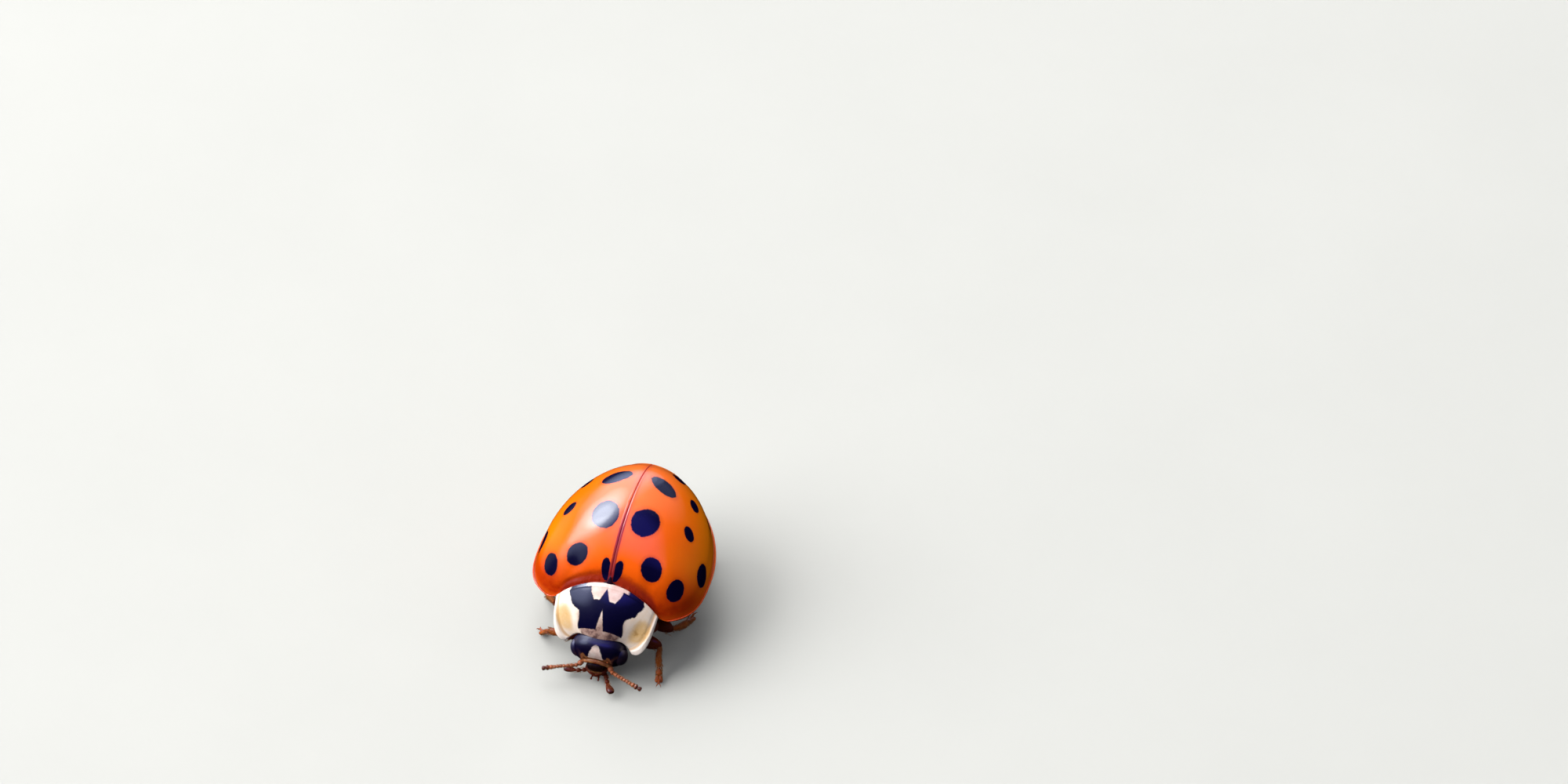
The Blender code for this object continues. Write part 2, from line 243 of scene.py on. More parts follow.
class Finish:
    """A material under construction, round one Principled shader."""

    def __init__(self, name, **constants):
        self.material = bpy.data.materials.new(name)
        self.material.use_nodes = True
        self.tree = self.material.node_tree
        self.shader = self.tree.nodes["Principled BSDF"]
        for socket, number in constants.items():
            self.shader.inputs[socket.replace("_", " ")].default_value = number
        self.here = self.place()

    def fill(self, socket, value):
        if isinstance(value, Value):
            value = value.socket
        if isinstance(value, bpy.types.NodeSocket):
            self.tree.links.new(value, socket)
        else:
            socket.default_value = value

    def node(self, kind, inputs=None, **settings):
        """A node of that type: its settings first, then its sockets, by name or by number."""
        made = self.tree.nodes.new("ShaderNode" + kind)
        for name, value in settings.items():
            setattr(made, name, value)
        for name, value in (inputs or {}).items():
            self.fill(made.inputs[name], value)
        return made

    def value(self, output, kind, inputs=None, **settings):
        """The number that a node gives at that output."""
        return Value(self, self.node(kind, inputs, **settings).outputs[output])

    def sum(self, operation, *values):
        return self.value(0, "Math", dict(enumerate(values)), operation=operation)

    def least(self, one, other):
        return self.sum("MINIMUM", one, other)

    def most(self, one, other):
        return self.sum("MAXIMUM", one, other)

    def step(self, value, low, high):
        """0 at low, 1 at high and smooth between; low may lie above high."""
        if low > high:
            return 1.0 - self.step(value, high, low)
        inputs = {"Value": value, "From Min": low, "From Max": high}
        return self.value("Result", "MapRange", inputs, interpolation_type="SMOOTHSTEP")

    def curve(self, value, stops):
        """A smooth curve through stops, each a value and what the curve gives there."""
        made = self.node("ValToRGB", {"Fac": value})
        ramp = made.color_ramp
        ramp.interpolation = "CARDINAL"
        while len(ramp.elements) < len(stops):
            ramp.elements.new(0.5)
        for element, (place, level) in zip(ramp.elements, stops):
            element.position = place
            element.color = rgb(level, level, level)
        return Value(self, made.outputs["Color"])

    def read(self, name):
        """A value that the mesh carries at its points."""
        return self.value("Fac", "Attribute", attribute_name=name)

    def place(self):
        """The point being shaded, in half-breadths."""
        metres = self.node("TexCoord").outputs["Object"]
        scale = 1.0 / HALF_BREADTH
        inputs = {0: metres, 1: (scale, scale, scale), 2: (0.0, MIDDLE, -STANCE)}
        return self.node("VectorMath", inputs, operation="MULTIPLY_ADD").outputs[0]

    def axes(self):
        made = self.node("SeparateXYZ", {0: self.here})
        return [Value(self, socket) for socket in made.outputs]

    def noise(self, scale, detail=3.0, roughness=0.55):
        """Cloudy noise about 0, mostly within half a unit either way."""
        inputs = {"Vector": self.here, "Scale": scale, "Detail": detail, "Roughness": roughness}
        return self.value("Fac", "TexNoise", inputs) - 0.5

    def pits(self, scale):
        """Distance to the nearest of many scattered points, in cells."""
        inputs = {"Vector": self.here, "Scale": scale, "Randomness": 0.9}
        return self.value("Distance", "TexVoronoi", inputs)

    def mix(self, factor, one, other):
        """Colour one where factor is 0 and other where it is 1."""
        made = self.node("Mix", data_type="RGBA")
        self.fill(made.inputs[0], factor)
        self.fill(made.inputs[6], one)
        self.fill(made.inputs[7], other)
        return made.outputs[2]

    def paint(self, colour, *coats):
        """The shader's colour, with each coat of a share and a colour laid over the ones before."""
        for share, over in coats:
            colour = self.mix(share, colour, over)
        self.fill(self.shader.inputs["Base Color"], colour)

    def roughness(self, value):
        self.fill(self.shader.inputs["Roughness"], value)

    def relief(self, height, depth):
        """Small relief: height times depth, which is in half-breadths."""
        inputs = {"Strength": 1.0, "Distance": depth * HALF_BREADTH, "Height": height}
        self.fill(self.shader.inputs["Normal"], self.node("Bump", inputs).outputs["Normal"])

    def pricked(self, grain, scale, reach, depth, core=0.05):
        """Relief of grain with scattered pricks, each deepest within core and gone beyond reach."""
        self.relief(grain - self.step(self.pits(scale), reach, core), depth)


# ---- meshes


class Shape:
    """Points and faces gathered for one piece, with the named values that its material reads."""

    def __init__(self):
        self.points = []
        self.faces = []
        self.values = {}
        self.count = 0

    def add(self, points, faces, **values):
        """Adds points, a list of faces that index them, and one number or array for each value."""
        points = np.asarray(points, float).reshape(-1, 3)
        size = len(points)
        for name in self.values | values:
            known = self.values.setdefault(name, [np.zeros(self.count)])
            known.append(np.broadcast_to(np.asarray(values.get(name, 0.0), float).ravel(), (size,)))
        self.faces += [tuple(index + self.count for index in face) for face in faces]
        self.points.append(points)
        self.count += size

    def mesh(self, name):
        made = bpy.data.meshes.new(name)
        made.from_pydata(in_metres(np.concatenate(self.points)).tolist(), [], self.faces)
        values = {name: np.concatenate(parts).astype(np.float32) for name, parts in self.values.items()}
        if "map_u" in values:
            places = np.stack((values.pop("map_u"), values.pop("map_v")), axis=1)
            corners = np.array([index for face in self.faces for index in face])
            made.uv_layers.new(name="OFBake").data.foreach_set("uv", places[corners].ravel())
        for value, numbers in values.items():
            made.attributes.new(value, "FLOAT", "POINT").data.foreach_set("value", numbers)
        return made

    def piece(self, name, finish, slot, *nodes, weld=2e-4):
        """Makes the gathered shape an object that rides on the frame in the place of nodes."""
        mesh = self.mesh(name)
        bm = bmesh.new()
        bm.from_mesh(mesh)
        if weld:
            bmesh.ops.remove_doubles(bm, verts=bm.verts[:], dist=weld * HALF_BREADTH)
            bmesh.ops.dissolve_degenerate(bm, edges=bm.edges[:], dist=0.1 * weld * HALF_BREADTH)
        bmesh.ops.recalc_face_normals(bm, faces=bm.faces[:])
        bm.to_mesh(mesh)
        bm.free()
        mesh.shade_smooth()
        made = bpy.data.objects.new(name, mesh)
        bpy.context.scene.collection.objects.link(made)
        mesh.materials.append(finish.material)
        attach(made, BODY)
        if nodes:
            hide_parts(*nodes)


def points_at(x, y, z):
    """Points from their coordinates, each of them a number or an array."""
    return np.stack(np.broadcast_arrays(x, y, z), axis=-1)


def grid_faces(rows, columns, closed=False):
    """Quads of a grid of rows times columns points; closed joins the last column to the first."""
    faces = []
    for row in range(rows - 1):
        for column in range(columns - (0 if closed else 1)):
            beside = (column + 1) % columns
            low = row * columns
            high = low + columns
            faces.append((low + column, low + beside, high + beside, high + column))
    return faces


def tube_faces(rows, columns):
    """Quads round a tube of rows times columns points, and a cap at each end."""
    caps = [tuple(range(columns)), tuple(range((rows - 1) * columns, rows * columns))]
    return grid_faces(rows, columns, closed=True) + caps


def smooth_route(points, count):
    """count places along a smooth curve through points."""
    knots = np.asarray(points, float)
    padded = np.vstack((2 * knots[0] - knots[1], knots, 2 * knots[-1] - knots[-2]))
    where = np.clip(np.linspace(0, len(knots) - 1, count), 0, len(knots) - 1 - 1e-6)
    low = where.astype(int)
    t = (where - low)[:, None]
    a, b, c, d = (padded[low + i] for i in range(4))
    bend = (2 * a - 5 * b + 4 * c - d) * t**2 + (3 * b - a - 3 * c + d) * t**3
    return 0.5 * (2 * b + (c - a) * t + bend)


def evenly(route, shares):
    """Places on route at shares of its length."""
    steps = np.linalg.norm(np.diff(route, axis=0), axis=1)
    length = np.concatenate(([0.0], np.cumsum(steps))) / steps.sum()
    return np.stack([np.interp(shares, length, route[:, axis]) for axis in range(3)], axis=1)


def unit(vectors):
    return vectors / np.maximum(np.linalg.norm(vectors, axis=-1, keepdims=True), 1e-12)


def cross_frame(route, up):
    """At each place of route: the way it runs, the way to its side and its own up."""
    run = unit(np.gradient(route, axis=0))
    side = unit(np.cross(run, np.asarray(up, float)))
    return run, side, np.cross(side, run)


def add_limb(shape, route, breadth, depth=None, up=ABOVE, sides=20, **values):
    """A closed body along route whose section is an ellipse: breadth sideways, depth up and down."""
    depth = breadth if depth is None else depth
    _, side, rise = cross_frame(route, up)
    turn = full_turn(sides)
    rows = len(route)
    breadth = np.broadcast_to(breadth, (rows,))[:, None, None]
    depth = np.broadcast_to(depth, (rows,))[:, None, None]
    ring = side[:, None, :] * np.cos(turn)[None, :, None] * breadth
    ring = ring + rise[:, None, :] * np.sin(turn)[None, :, None] * depth
    points = (route[:, None, :] + ring).reshape(-1, 3)
    along = np.repeat(np.linspace(0, 1, rows), sides)
    shape.add(points, tube_faces(rows, sides), along=along, **values)


def add_bent(shape, points, count, shares, breadth, depth=None, **ways):
    """A limb along the smooth curve through points, with a ring at each share of its length."""
    add_limb(shape, evenly(smooth_route(points, count), shares), breadth, depth, **ways)


def mirrored(points, side):
    """Points of the left side, or their mirror image where side is -1."""
    return np.array(points) * (side, 1, 1)


def rounded(count, power=2.4):
    """Shares along a body, closer at its ends, and the swell there: 0 at both ends, near 1 between."""
    share = closer_at_ends(count)
    swell = np.sqrt(np.maximum(1.0 - np.abs(2 * share - 1) ** power, 0.0))
    return share, np.maximum(swell, 0.03)


# ---- the dome of the wing cases


def half_breadth(y):
    """Half the breadth of the closed wing cases at y, in plan."""
    front = arch(np.minimum(y, 0), 0, SHOULDER_REACH, SHOULDER_POWER)
    rear = arch(np.maximum(y, 0), 0, TAIL_REACH, TAIL_POWER)
    return np.where(y < 0, front ** (1 / SHOULDER_POWER), rear**0.5)


def ridge_height(y):
    fore = arch(y, CREST, FORE_REACH, FORE_POWER)
    rear = arch(y, CREST, REAR_REACH, REAR_POWER)
    return CREST_HEIGHT * np.where(y < CREST, fore, rear) ** 0.5


def dome_height(x, y):
    return ridge_height(y) * arch(x, 0, np.maximum(half_breadth(y), 1e-6), ARCH_POWER) ** 0.5


def base_line(x):
    """Y of the wing cases' front edge."""
    return BASE_LINE - BASE_BOW * x * x


def outline_reach(angle):
    """Distance in plan from the hub to the edge of the wing cases."""
    inside = np.zeros_like(angle)
    outside = np.full_like(angle, 2.0)
    for _ in range(44):
        middle = (inside + outside) / 2
        x = middle * np.cos(angle)
        y = HUB + middle * np.sin(angle)
        from_side = half_breadth(y) - np.abs(x)
        from_base = y - base_line(x)
        short = np.maximum(SHOULDER_ROUND - np.stack((from_side, from_base)), 0)
        within = (from_side > 0) & (from_base > 0) & (np.hypot(short[0], short[1]) < SHOULDER_ROUND)
        inside = np.where(within, middle, inside)
        outside = np.where(within, outside, middle)
    return inside


def case_relief(x, y, from_edge, based):
    """Height of the small forms on a wing case above the plain dome."""
    shoulder = 0.016 * bell(x, 0.60, 0.13) * bell(y, -0.43, 0.14)
    inner_knob = 0.006 * bell(x, 0.30, 0.12) * bell(y, -0.56, 0.08)
    hollow = -0.007 * bell(x, 0.44, 0.07) * bell(y, -0.58, 0.08)
    seam = -0.0035 * bell(x, 0.0, 0.005) + 0.0012 * bell(x, 0.020, 0.009)
    gutter = -0.006 * bell(from_edge, 0.05, 0.022) * (1 - based)
    wrinkle = 1 + 0.5 * np.sin(61 * x + 7 * np.sin(23 * x))
    base_groove = -0.008 * bell(from_edge, 0.075, 0.020) + 0.004 * wrinkle * bell(from_edge, 0.035, 0.016)
    base_groove = base_groove * based
    fold_line = y - 1.055 - 0.10 * x
    fold = 0.010 * bell(fold_line, 0, 0.03) - 0.010 * bell(fold_line, 0.065, 0.035)
    fold = fold * ease(x, 0.5, 0.2)
    uneven = 0.0012 * np.sin(8.3 * x + 2.1 * y) * np.sin(6.1 * y - 3.0 * x + 0.7)
    return shoulder + inner_knob + hollow + seam + gutter + base_groove + fold + uneven


def add_wing_case(shape, side):
    """One wing case as a closed shell, spread from the hub on the seam to a beaded edge."""
    columns = 300
    t = np.linspace(0, 1, columns)
    angle = math.pi * (mixed(t, 0.5 - 0.5 * np.cos(math.pi * t), 0.8) - 0.5)
    reach = outline_reach(angle)
    way_x, way_y = np.cos(angle), np.sin(angle)
    edge_x, edge_y = reach * way_x, HUB + reach * way_y
    edge_height = dome_height(edge_x * 0.999, HUB + (edge_y - HUB) * 0.999)
    based = ease(edge_height, BASED_FROM, BASED_TO)
    rows = []
    edges = []

    def add_row(radius, z):
        rows.append(points_at(radius * way_x, HUB + radius * way_y, z))
        edges.append(reach - radius)

    share = np.sin(np.linspace(0, 1, 130) * math.pi / 2)
    lean = 1e-4
    for f in share:
        radius = (reach - CASE_RIM) * f
        full_x, full_y = edge_x * f, HUB + (edge_y - HUB) * f
        z = dome_height(full_x, full_y) * CASE_SHARE
        inward = dome_height(full_x * (1 - lean), full_y) * CASE_SHARE
        forward = dome_height(full_x, full_y - lean) * CASE_SHARE
        slope_x = (inward - z) / np.maximum(lean * full_x, 1e-5)
        normal = unit(points_at(slope_x, (forward - z) / lean, 1.0))
        add_row(radius, z)
        x, y = rows[-1][:, 0], rows[-1][:, 1]
        rise = case_relief(x, y, edges[-1], based) * ease(f, 1.0, 0.995)
        rows[-1] = rows[-1] + normal * rise[:, None]
    for turn in np.radians(np.linspace(125, -95, 12)):
        add_row(reach - CASE_BEAD * (1 - math.cos(turn)), edge_height + 0.003 + CASE_BEAD * math.sin(turn))
    for f in share[::-1]:
        z = dome_height(edge_x * f, HUB + (edge_y - HUB) * f) * LINING_SHARE
        add_row((reach - CASE_RIM) * f * LINING_SPREAD, z)

    points = np.array(rows)
    points[:, :, 0] = side * np.maximum(points[:, :, 0], SEAM_GAP)
    total = len(rows)
    faces = grid_faces(total, columns)
    for column in (0, columns - 1):
        loop = [row * columns + column for row in range(total)]
        for near in range(total // 2 - 1):
            far = total - 1 - near
            faces.append((loop[near], loop[near + 1], loop[far - 1], loop[far]))
    shape.add(points, faces, edge=np.array(edges), based=np.tile(based, total))


def add_case_underfold(shape, side):
    """The wing case's turned-under border, broad at the shoulder and narrow at the tail."""
    columns = 150
    angle = np.radians(np.linspace(-48, 89, columns))
    reach = outline_reach(angle)
    breadth = UNDERFOLD_MORE * (1 - np.linspace(0, 1, columns)) ** 0.7 + UNDERFOLD_LEAST
    rows = []
    for upper, steps in ((0.0, np.linspace(0, 1, 12)), (UNDERFOLD_THICKNESS, np.linspace(1, 0, 8))):
        for t in steps:
            radius = reach - UNDERFOLD_INSET - breadth * t
            z = -0.004 + 0.05 * t * breadth / 0.2 + 0.012 * math.sin(math.pi * t) + upper
            rows.append(points_at(side * radius * np.cos(angle), HUB + radius * np.sin(angle), z))
    shape.add(np.array(rows).transpose(1, 0, 2), tube_faces(columns, len(rows)))


# ---- plates


def add_plate(shape, points, half_thickness, from_edge, rounding, relief=0.0, **values):
    """A closed plate under the grid of points, its edge rounded where from_edge falls to 0."""
    points = np.asarray(points, float)
    rows, columns = points.shape[:2]
    normal = unit(np.cross(np.gradient(points, axis=1), np.gradient(points, axis=0)))
    if normal[rows // 2, columns // 2] @ (0, -0.5, 1) < 0:
        normal = -normal
    near = np.clip(from_edge / rounding, 0, 1)
    swell = half_thickness * np.sqrt(np.maximum(1 - (1 - near) ** 2, 0))
    middle = points - normal * half_thickness
    top = middle + normal * (swell + relief * near)[..., None]
    bottom = middle - normal * swell[..., None]
    faces = grid_faces(rows, columns)
    under = [tuple(reversed([i + rows * columns for i in face])) for face in faces]
    both = {name: np.tile(np.asarray(value, float).ravel(), 2) for name, value in values.items()}
    shape.add(np.concatenate((top.reshape(-1, 3), bottom.reshape(-1, 3))), faces + under, **both)


def shield_ends(s):
    """Y of the shield's back and front edges, s of the way from its middle to its side."""
    front = SHIELD_FRONT_Y + SHIELD_CORNER_BACK * s * s - SHIELD_HORN * s**8
    return base_line(SHIELD_BREADTH * s) - SHIELD_GAP, front


def shield_surface(s, v):
    """The neck shield's upper face: s from its right side, -1, to its left, 1, and v from back to front."""
    s, v = s * (1 - SHIELD_CORNER_ROUND * v**9), v * (1 - SHIELD_CORNER_ROUND * np.abs(s) ** 9)
    back_x = SHIELD_BREADTH * s
    back_y, front_y = shield_ends(s)
    back_z = dome_height(0.97 * back_x, back_y + 0.8 * SHIELD_GAP) + 0.02 * (1 - s * s)
    front_z = SHIELD_FRONT_Z - SHIELD_CORNER_DROP * s**4
    front = points_at(SHIELD_FRONT_BREADTH * s / (1 - SHIELD_CORNER_ROUND), front_y, front_z)
    swell = 4 * v * (1 - v)
    points = mixed(points_at(back_x, back_y, back_z), front, v[..., None])
    points[..., 0] += SHIELD_SIDE_SWELL * swell * (0.7 + 0.6 * v) * s * np.abs(s)
    rise = SHIELD_RISE * swell * (1 - 0.4 * s * s)
    return points + rise[..., None] * SHIELD_BULGE


def mark_place(s, v):
    """Where the black mark takes a point of the shield to be, from back, 0, to the front strip, 1."""
    back_y, front_y = shield_ends(s)
    strip_y = SHIELD_STRIP_Y + SHIELD_STRIP_BOW * s * s
    return v * (back_y - front_y) / (back_y - strip_y)


def add_shield(shape):
    across = np.sin(np.linspace(-1, 1, 241) * math.pi / 2)
    along = mixed(-0.045, 1.0, closer_at_ends(121))
    s, v = np.meshgrid(across, along)
    from_side = (1 - np.abs(s)) * SHIELD_SIDE_SCALE
    from_end = np.minimum(v - along[0], 1 - v) * SHIELD_END_SCALE
    from_edge = np.minimum(from_side, from_end)
    bead = 0.007 * bell(from_side, 0.020, 0.011) - 0.006 * bell(from_side, 0.047, 0.014)
    bead = bead + 0.003 * bell(v * SHIELD_END_SCALE, 0.018, 0.008)
    relief = bead - 0.008 * bell(np.abs(s), 0.80, 0.13) * bell(v, 0.55, 0.22)
    points = shield_surface(s, v)
    values = {"across": s, "along": mark_place(s, v)}
    add_plate(shape, points, SHIELD_HALF_THICKNESS, from_edge, SHIELD_EDGE_ROUND, relief, **values)


def add_scutellum(shape):
    half_width, length = 0.054, 0.092
    s, v = np.meshgrid(np.sin(np.linspace(-1, 1, 41) * math.pi / 2), np.linspace(0, 1, 41))
    x = half_width * s * (1 - v) ** 0.7
    y = -0.700 + length * v
    z = dome_height(x, y) + 0.006 + 0.010 * (1 - s * s) * np.sqrt(np.maximum(1 - v, 0))
    from_side = (1 - np.abs(s)) * half_width * (1 - v) ** 0.7
    from_edge = np.minimum(from_side, np.minimum(v, 1 - v) * length)
    add_plate(shape, points_at(x, y, z), 0.012, from_edge, 0.014)


# ---- trunk


def trunk_section(y):
    """Half-breadth, underside, widest height and top of the trunk at y."""
    hind = arch(y, 0.20, 0.985, 2.7)
    case = half_breadth(np.clip(y, -0.7, 1.0) * 1.02) * mixed(0.70, 0.89, ease(y, -0.64, -0.20))
    fore = arch(y, -0.78, 0.245, 2.6)
    share = ease(y, WAIST_Y - 0.05, WAIST_Y + 0.04)
    breadth = mixed(0.445 * fore**0.42, case * hind**0.30, share) + 0.15 * bell(y, -0.70, 0.075)
    low = mixed(-0.06 - 0.29 * fore**0.5, -0.215 * hind**0.55, share)
    widest = mixed(-0.10, 0.012, share)
    fore_top = np.minimum(0.13, -0.16 + (y + 1.07) * 1.2)
    top = mixed(fore_top, 0.80 * ridge_height(y) * hind**0.5, share)
    pinch = bell(y, WAIST_Y, 0.035)
    return breadth * (1 - 0.03 * pinch), low + 0.07 * pinch, widest, np.maximum(top, widest + 0.01)


def belly_relief(x, y, breadth):
    """Height of plates, steps and seams on the underside."""
    x = np.abs(x)
    bowed = y - 0.07 * (x / np.maximum(breadth, 1e-3)) ** 2
    steps = np.zeros_like(x)
    for start, end in zip(SEGMENT_ENDS, SEGMENT_ENDS[1:]):
        inside = (bowed >= start) & (bowed < end)
        share = np.clip((bowed - start) / (end - start), 0, 1)
        steps = np.where(inside, 0.013 * share**0.7, steps)
    breast = (1 - ease(y, 0.18, 0.235)) * ease(y, -0.62, -0.55)
    middle_line = -0.009 * bell(x, 0, 0.008) * ease(y, -0.26, -0.20) * (1 - ease(y, 0.08, 0.14))
    side_plate = -0.011 * bell(x - 0.60 * breadth - 0.08 * (y + 0.2), 0, 0.010) * breast
    fore_seam = -0.013 * bell(y + 0.315 + 0.12 * x, 0, 0.010)
    hip_ring = np.hypot(x - 0.31, y - 0.10) - 0.25
    hip_line = -0.006 * bell(hip_ring, 0, 0.008) * ease(y, 0.25, 0.28)
    hip_pits = -0.05 * bell(np.hypot(x - 0.27, y + 0.38), 0, 0.09)
    keel = 0.015 * bell(x, 0, 0.05) * bell(y, -0.80, 0.10)
    return steps + middle_line + side_plate + fore_seam + hip_line + hip_pits + keel


def add_trunk(shape):
    rows, columns = 420, 150
    y = np.linspace(-1.02, 1.18, rows)[:, None]
    breadth, low, widest, top = trunk_section(y)
    turn = full_turn(columns)
    cosine, sine = np.cos(turn), np.sin(turn)
    x = breadth * (np.sign(cosine) * np.abs(cosine) ** 0.85)
    lower = sine < 0
    height = np.abs(sine) ** 0.85
    z = widest + np.where(lower, low - widest, top - widest) * height
    z = z - belly_relief(x, y, breadth) * np.where(lower, height, 0.0)
    outward = np.abs(x) / np.maximum(breadth, 1e-3)
    shape.add(points_at(x, y, z), tube_faces(rows, columns), outward=outward)


# ---- head


def head_skin_point(across, back, up):
    """A place in the beetle's frame from one in the head's own leaning frame."""
    centre = HEAD_CENTRE + points_at(across, 0.0, 0.0)
    return centre + back[..., None] * HEAD_BACK + up[..., None] * HEAD_UP


def sphere_directions(rows, columns):
    """Directions over a sphere with its poles at the two sides, as grids of rows times columns."""
    tilt = np.linspace(0, math.pi, rows)[:, None]
    turn = full_turn(columns)
    sine = np.sin(tilt)
    return np.broadcast_arrays(np.cos(tilt), sine * np.cos(turn), sine * np.sin(turn))


def blunt_block(directions, half, blunt):
    """The surface of a rounded block of those half-sizes; a ball where blunt is 2."""
    size = sum(np.abs(n) ** blunt for n in directions) ** (1 / blunt)
    return [n / size * reach for n, reach in zip(directions, half)]


def add_head(shape):
    rows, columns = 181, 240
    directions = sphere_directions(rows, columns)
    _, ny, nz = directions
    across, back, up = blunt_block(directions, HEAD_HALF, HEAD_BLUNT)
    side = np.abs(across)
    facing = ease(-ny, 0.1, 0.6)
    hollow = 0.012 * bell(across, 0, 0.10) * bell(up, 0.02, 0.13) * facing
    sockets = 0.020 * bell(np.hypot(side - 0.158, up + 0.055), 0, 0.030) * facing
    brow = -0.008 * bell(side, 0.185, 0.03) * bell(up, 0.0, 0.14) * facing
    seam = 0.004 * bell(up + 0.045 + 0.25 * side, 0, 0.008) * facing * ease(side, 0.2, 0.16)
    points = head_skin_point(across, back + hollow + sockets + brow + seam, up)
    pitch = np.degrees(np.arctan2(nz, -ny))
    shape.add(points, grid_faces(rows, columns, closed=True), pitch=pitch, facing=facing)


def add_eye(shape, side):
    """A compound eye: a tall dome of many small round lenses."""
    rows, columns = 150, 190
    direction = points_at(*sphere_directions(rows, columns)).reshape(-1, 3)
    index = np.arange(LENSES) + 0.5
    height = 1 - 2 * index / LENSES
    turn = math.pi * (1 + 5**0.5) * index
    flat = np.sqrt(1 - height * height)
    centres = points_at(height, flat * np.cos(turn), flat * np.sin(turn))
    nearest = np.concatenate([(part @ centres.T).max(axis=1) for part in np.array_split(direction, 8)])
    away = np.arccos(np.clip(nearest, -1, 1)) / (LENS_SPACING / math.sqrt(LENSES))
    bulge = 1 - LENS_BULGE * np.clip(away, 0, 1.2) ** 2
    across, back, up = np.hsplit(direction * EYE_HALF * bulge[:, None], 3)
    points = EYE_CENTRE * (side, 1, 1) + across * (side, 0, 0) + back * HEAD_BACK + up * HEAD_UP
    shape.add(points, grid_faces(rows, columns, closed=True), away=away)


def add_lump(shape, centre, half, lean=0.0, blunt=2.3):
    """A rounded block about centre, leaning forward by lean."""
    rows, columns = 60, 80
    x, y, z = blunt_block(sphere_directions(rows, columns), half, blunt)
    cosine, sine = math.cos(lean), math.sin(lean)
    points = points_at(x, y * cosine - z * sine, y * sine + z * cosine) + centre
    shape.add(points, grid_faces(rows, columns, closed=True))


def add_clypeus(shape):
    """The arched lip over the mouth, with a short tooth at each corner."""
    lip = (
        (-0.150, -1.150, -0.450),
        (-0.146, -1.190, -0.388),
        (-0.098, -1.214, -0.343),
        (-0.045, -1.222, -0.324),
        (0, -1.224, -0.318),
    )
    lip = lip + tuple((-x, y, z) for x, y, z in reversed(lip[:-1]))
    share, swell = rounded(70, 6)
    add_bent(shape, lip, 70, share, 0.022 * swell, 0.015 * swell, up=(0, -0.8, 0.6), sides=24)
    tooth = ((0.136, -1.175, -0.345), (0.146, -1.205, -0.310), (0.149, -1.222, -0.292))
    share, swell = rounded(20, 2.2)
    for side in SIDES.values():
        breadth, depth = (size * swell * (1.2 - share) for size in (0.024, 0.016))
        add_bent(shape, mirrored(tooth, side), 20, share, breadth, depth)


def add_labrum(shape):
    add_lump(shape, (0, -1.190, -0.420), (0.104, 0.062, 0.074), lean=math.radians(20), blunt=2.7)


def add_jaws(shape):
    """Two hooked jaws, the plates under them and a short feeler at each side."""
    jaw = ((0.10, -1.10, -0.50), (0.095, -1.18, -0.505), (0.04, -1.232, -0.512), (0, -1.240, -0.520))
    share, swell = rounded(40, 3)
    for side in SIDES.values():
        breadth = 0.030 * swell * (1.15 - 0.7 * share)
        add_bent(shape, mirrored(jaw, side), 60, share, breadth, 0.026 * swell)
    add_lump(shape, (0, -1.105, -0.552), (0.105, 0.092, 0.068))
    add_lump(shape, (0, -1.155, -0.572), (0.048, 0.060, 0.034), blunt=2.4)
    feeler = ((0.030, -1.185, -0.585), (0.040, -1.215, -0.600), (0.042, -1.245, -0.606))
    for side in SIDES.values():
        add_lump(shape, (side * 0.072, -1.135, -0.560), (0.036, 0.052, 0.038))
        add_articles(shape, mirrored(feeler, side), (0.45, 0.55), (0.013, 0.012), (0.013, 0.012))


def add_articles(shape, points, lengths, breadths, depths, waist=0.55):
    """A jointed limb: articles end to end along a curve, each narrow at its base and swollen beyond."""
    sides = 18
    route = smooth_route(points, 160)
    ends = np.concatenate(([0.0], np.cumsum(lengths))) / sum(lengths)
    share, swell = rounded(14, 3.2)
    taper = mixed(waist, 1.0, ease(share, 0.0, 0.75))
    for start, end, breadth, depth in zip(ends, ends[1:], breadths, depths):
        overlap = 0.08 * (end - start)
        places = evenly(route, mixed(start - overlap, end + overlap, share).clip(0, 1))
        reach = np.repeat(mixed(start, end, share), sides)
        sizes = breadth * swell * taper, depth * swell * taper
        add_limb(shape, places, *sizes, sides=sides, reach=reach)


def add_feeler(shape, side):
    lengths = (0.17, 0.085, 0.115, 0.08, 0.075, 0.07, 0.07, 0.065, 0.085, 0.085, 0.10)
    breadths = (0.034, 0.027, 0.0215, 0.0205, 0.0200, 0.0200, 0.0205, 0.022, 0.029, 0.034, 0.029)
    add_articles(shape, mirrored(FEELER, side), lengths, breadths, [b * 0.86 for b in breadths], waist=0.6)


def add_palp(shape, name):
    lengths = (0.10, 0.26, 0.20, 0.44)
    breadths = (0.022, 0.026, 0.028, 0.046)
    depths = (0.022, 0.024, 0.024, 0.026)
    add_articles(shape, PALPS[name], lengths, breadths, depths, waist=0.42)


# ---- legs


def leg_places(leg):
    """The leg's hip, trochanter, knee, ankle and toe."""
    pair, side = leg.split("_")
    return (*mirrored(HIPS[pair], SIDES[side]), *np.array(LEGS[leg]))


def add_hip(shape, leg):
    hip, trochanter, knee, _, _ = leg_places(leg)
    share, swell = rounded(34, 2.6)
    bent = (hip, mixed(hip, trochanter, 0.5), trochanter)
    add_bent(shape, bent, 60, share, 0.098 * swell, 0.088 * swell, up=(0, 1, 0.2), sides=28)
    run = unit(knee - trochanter)
    route = evenly(np.stack((trochanter - run * 0.05, trochanter + run * 0.13)), share)
    add_limb(shape, route, 0.052 * swell, 0.056 * swell, sides=24)


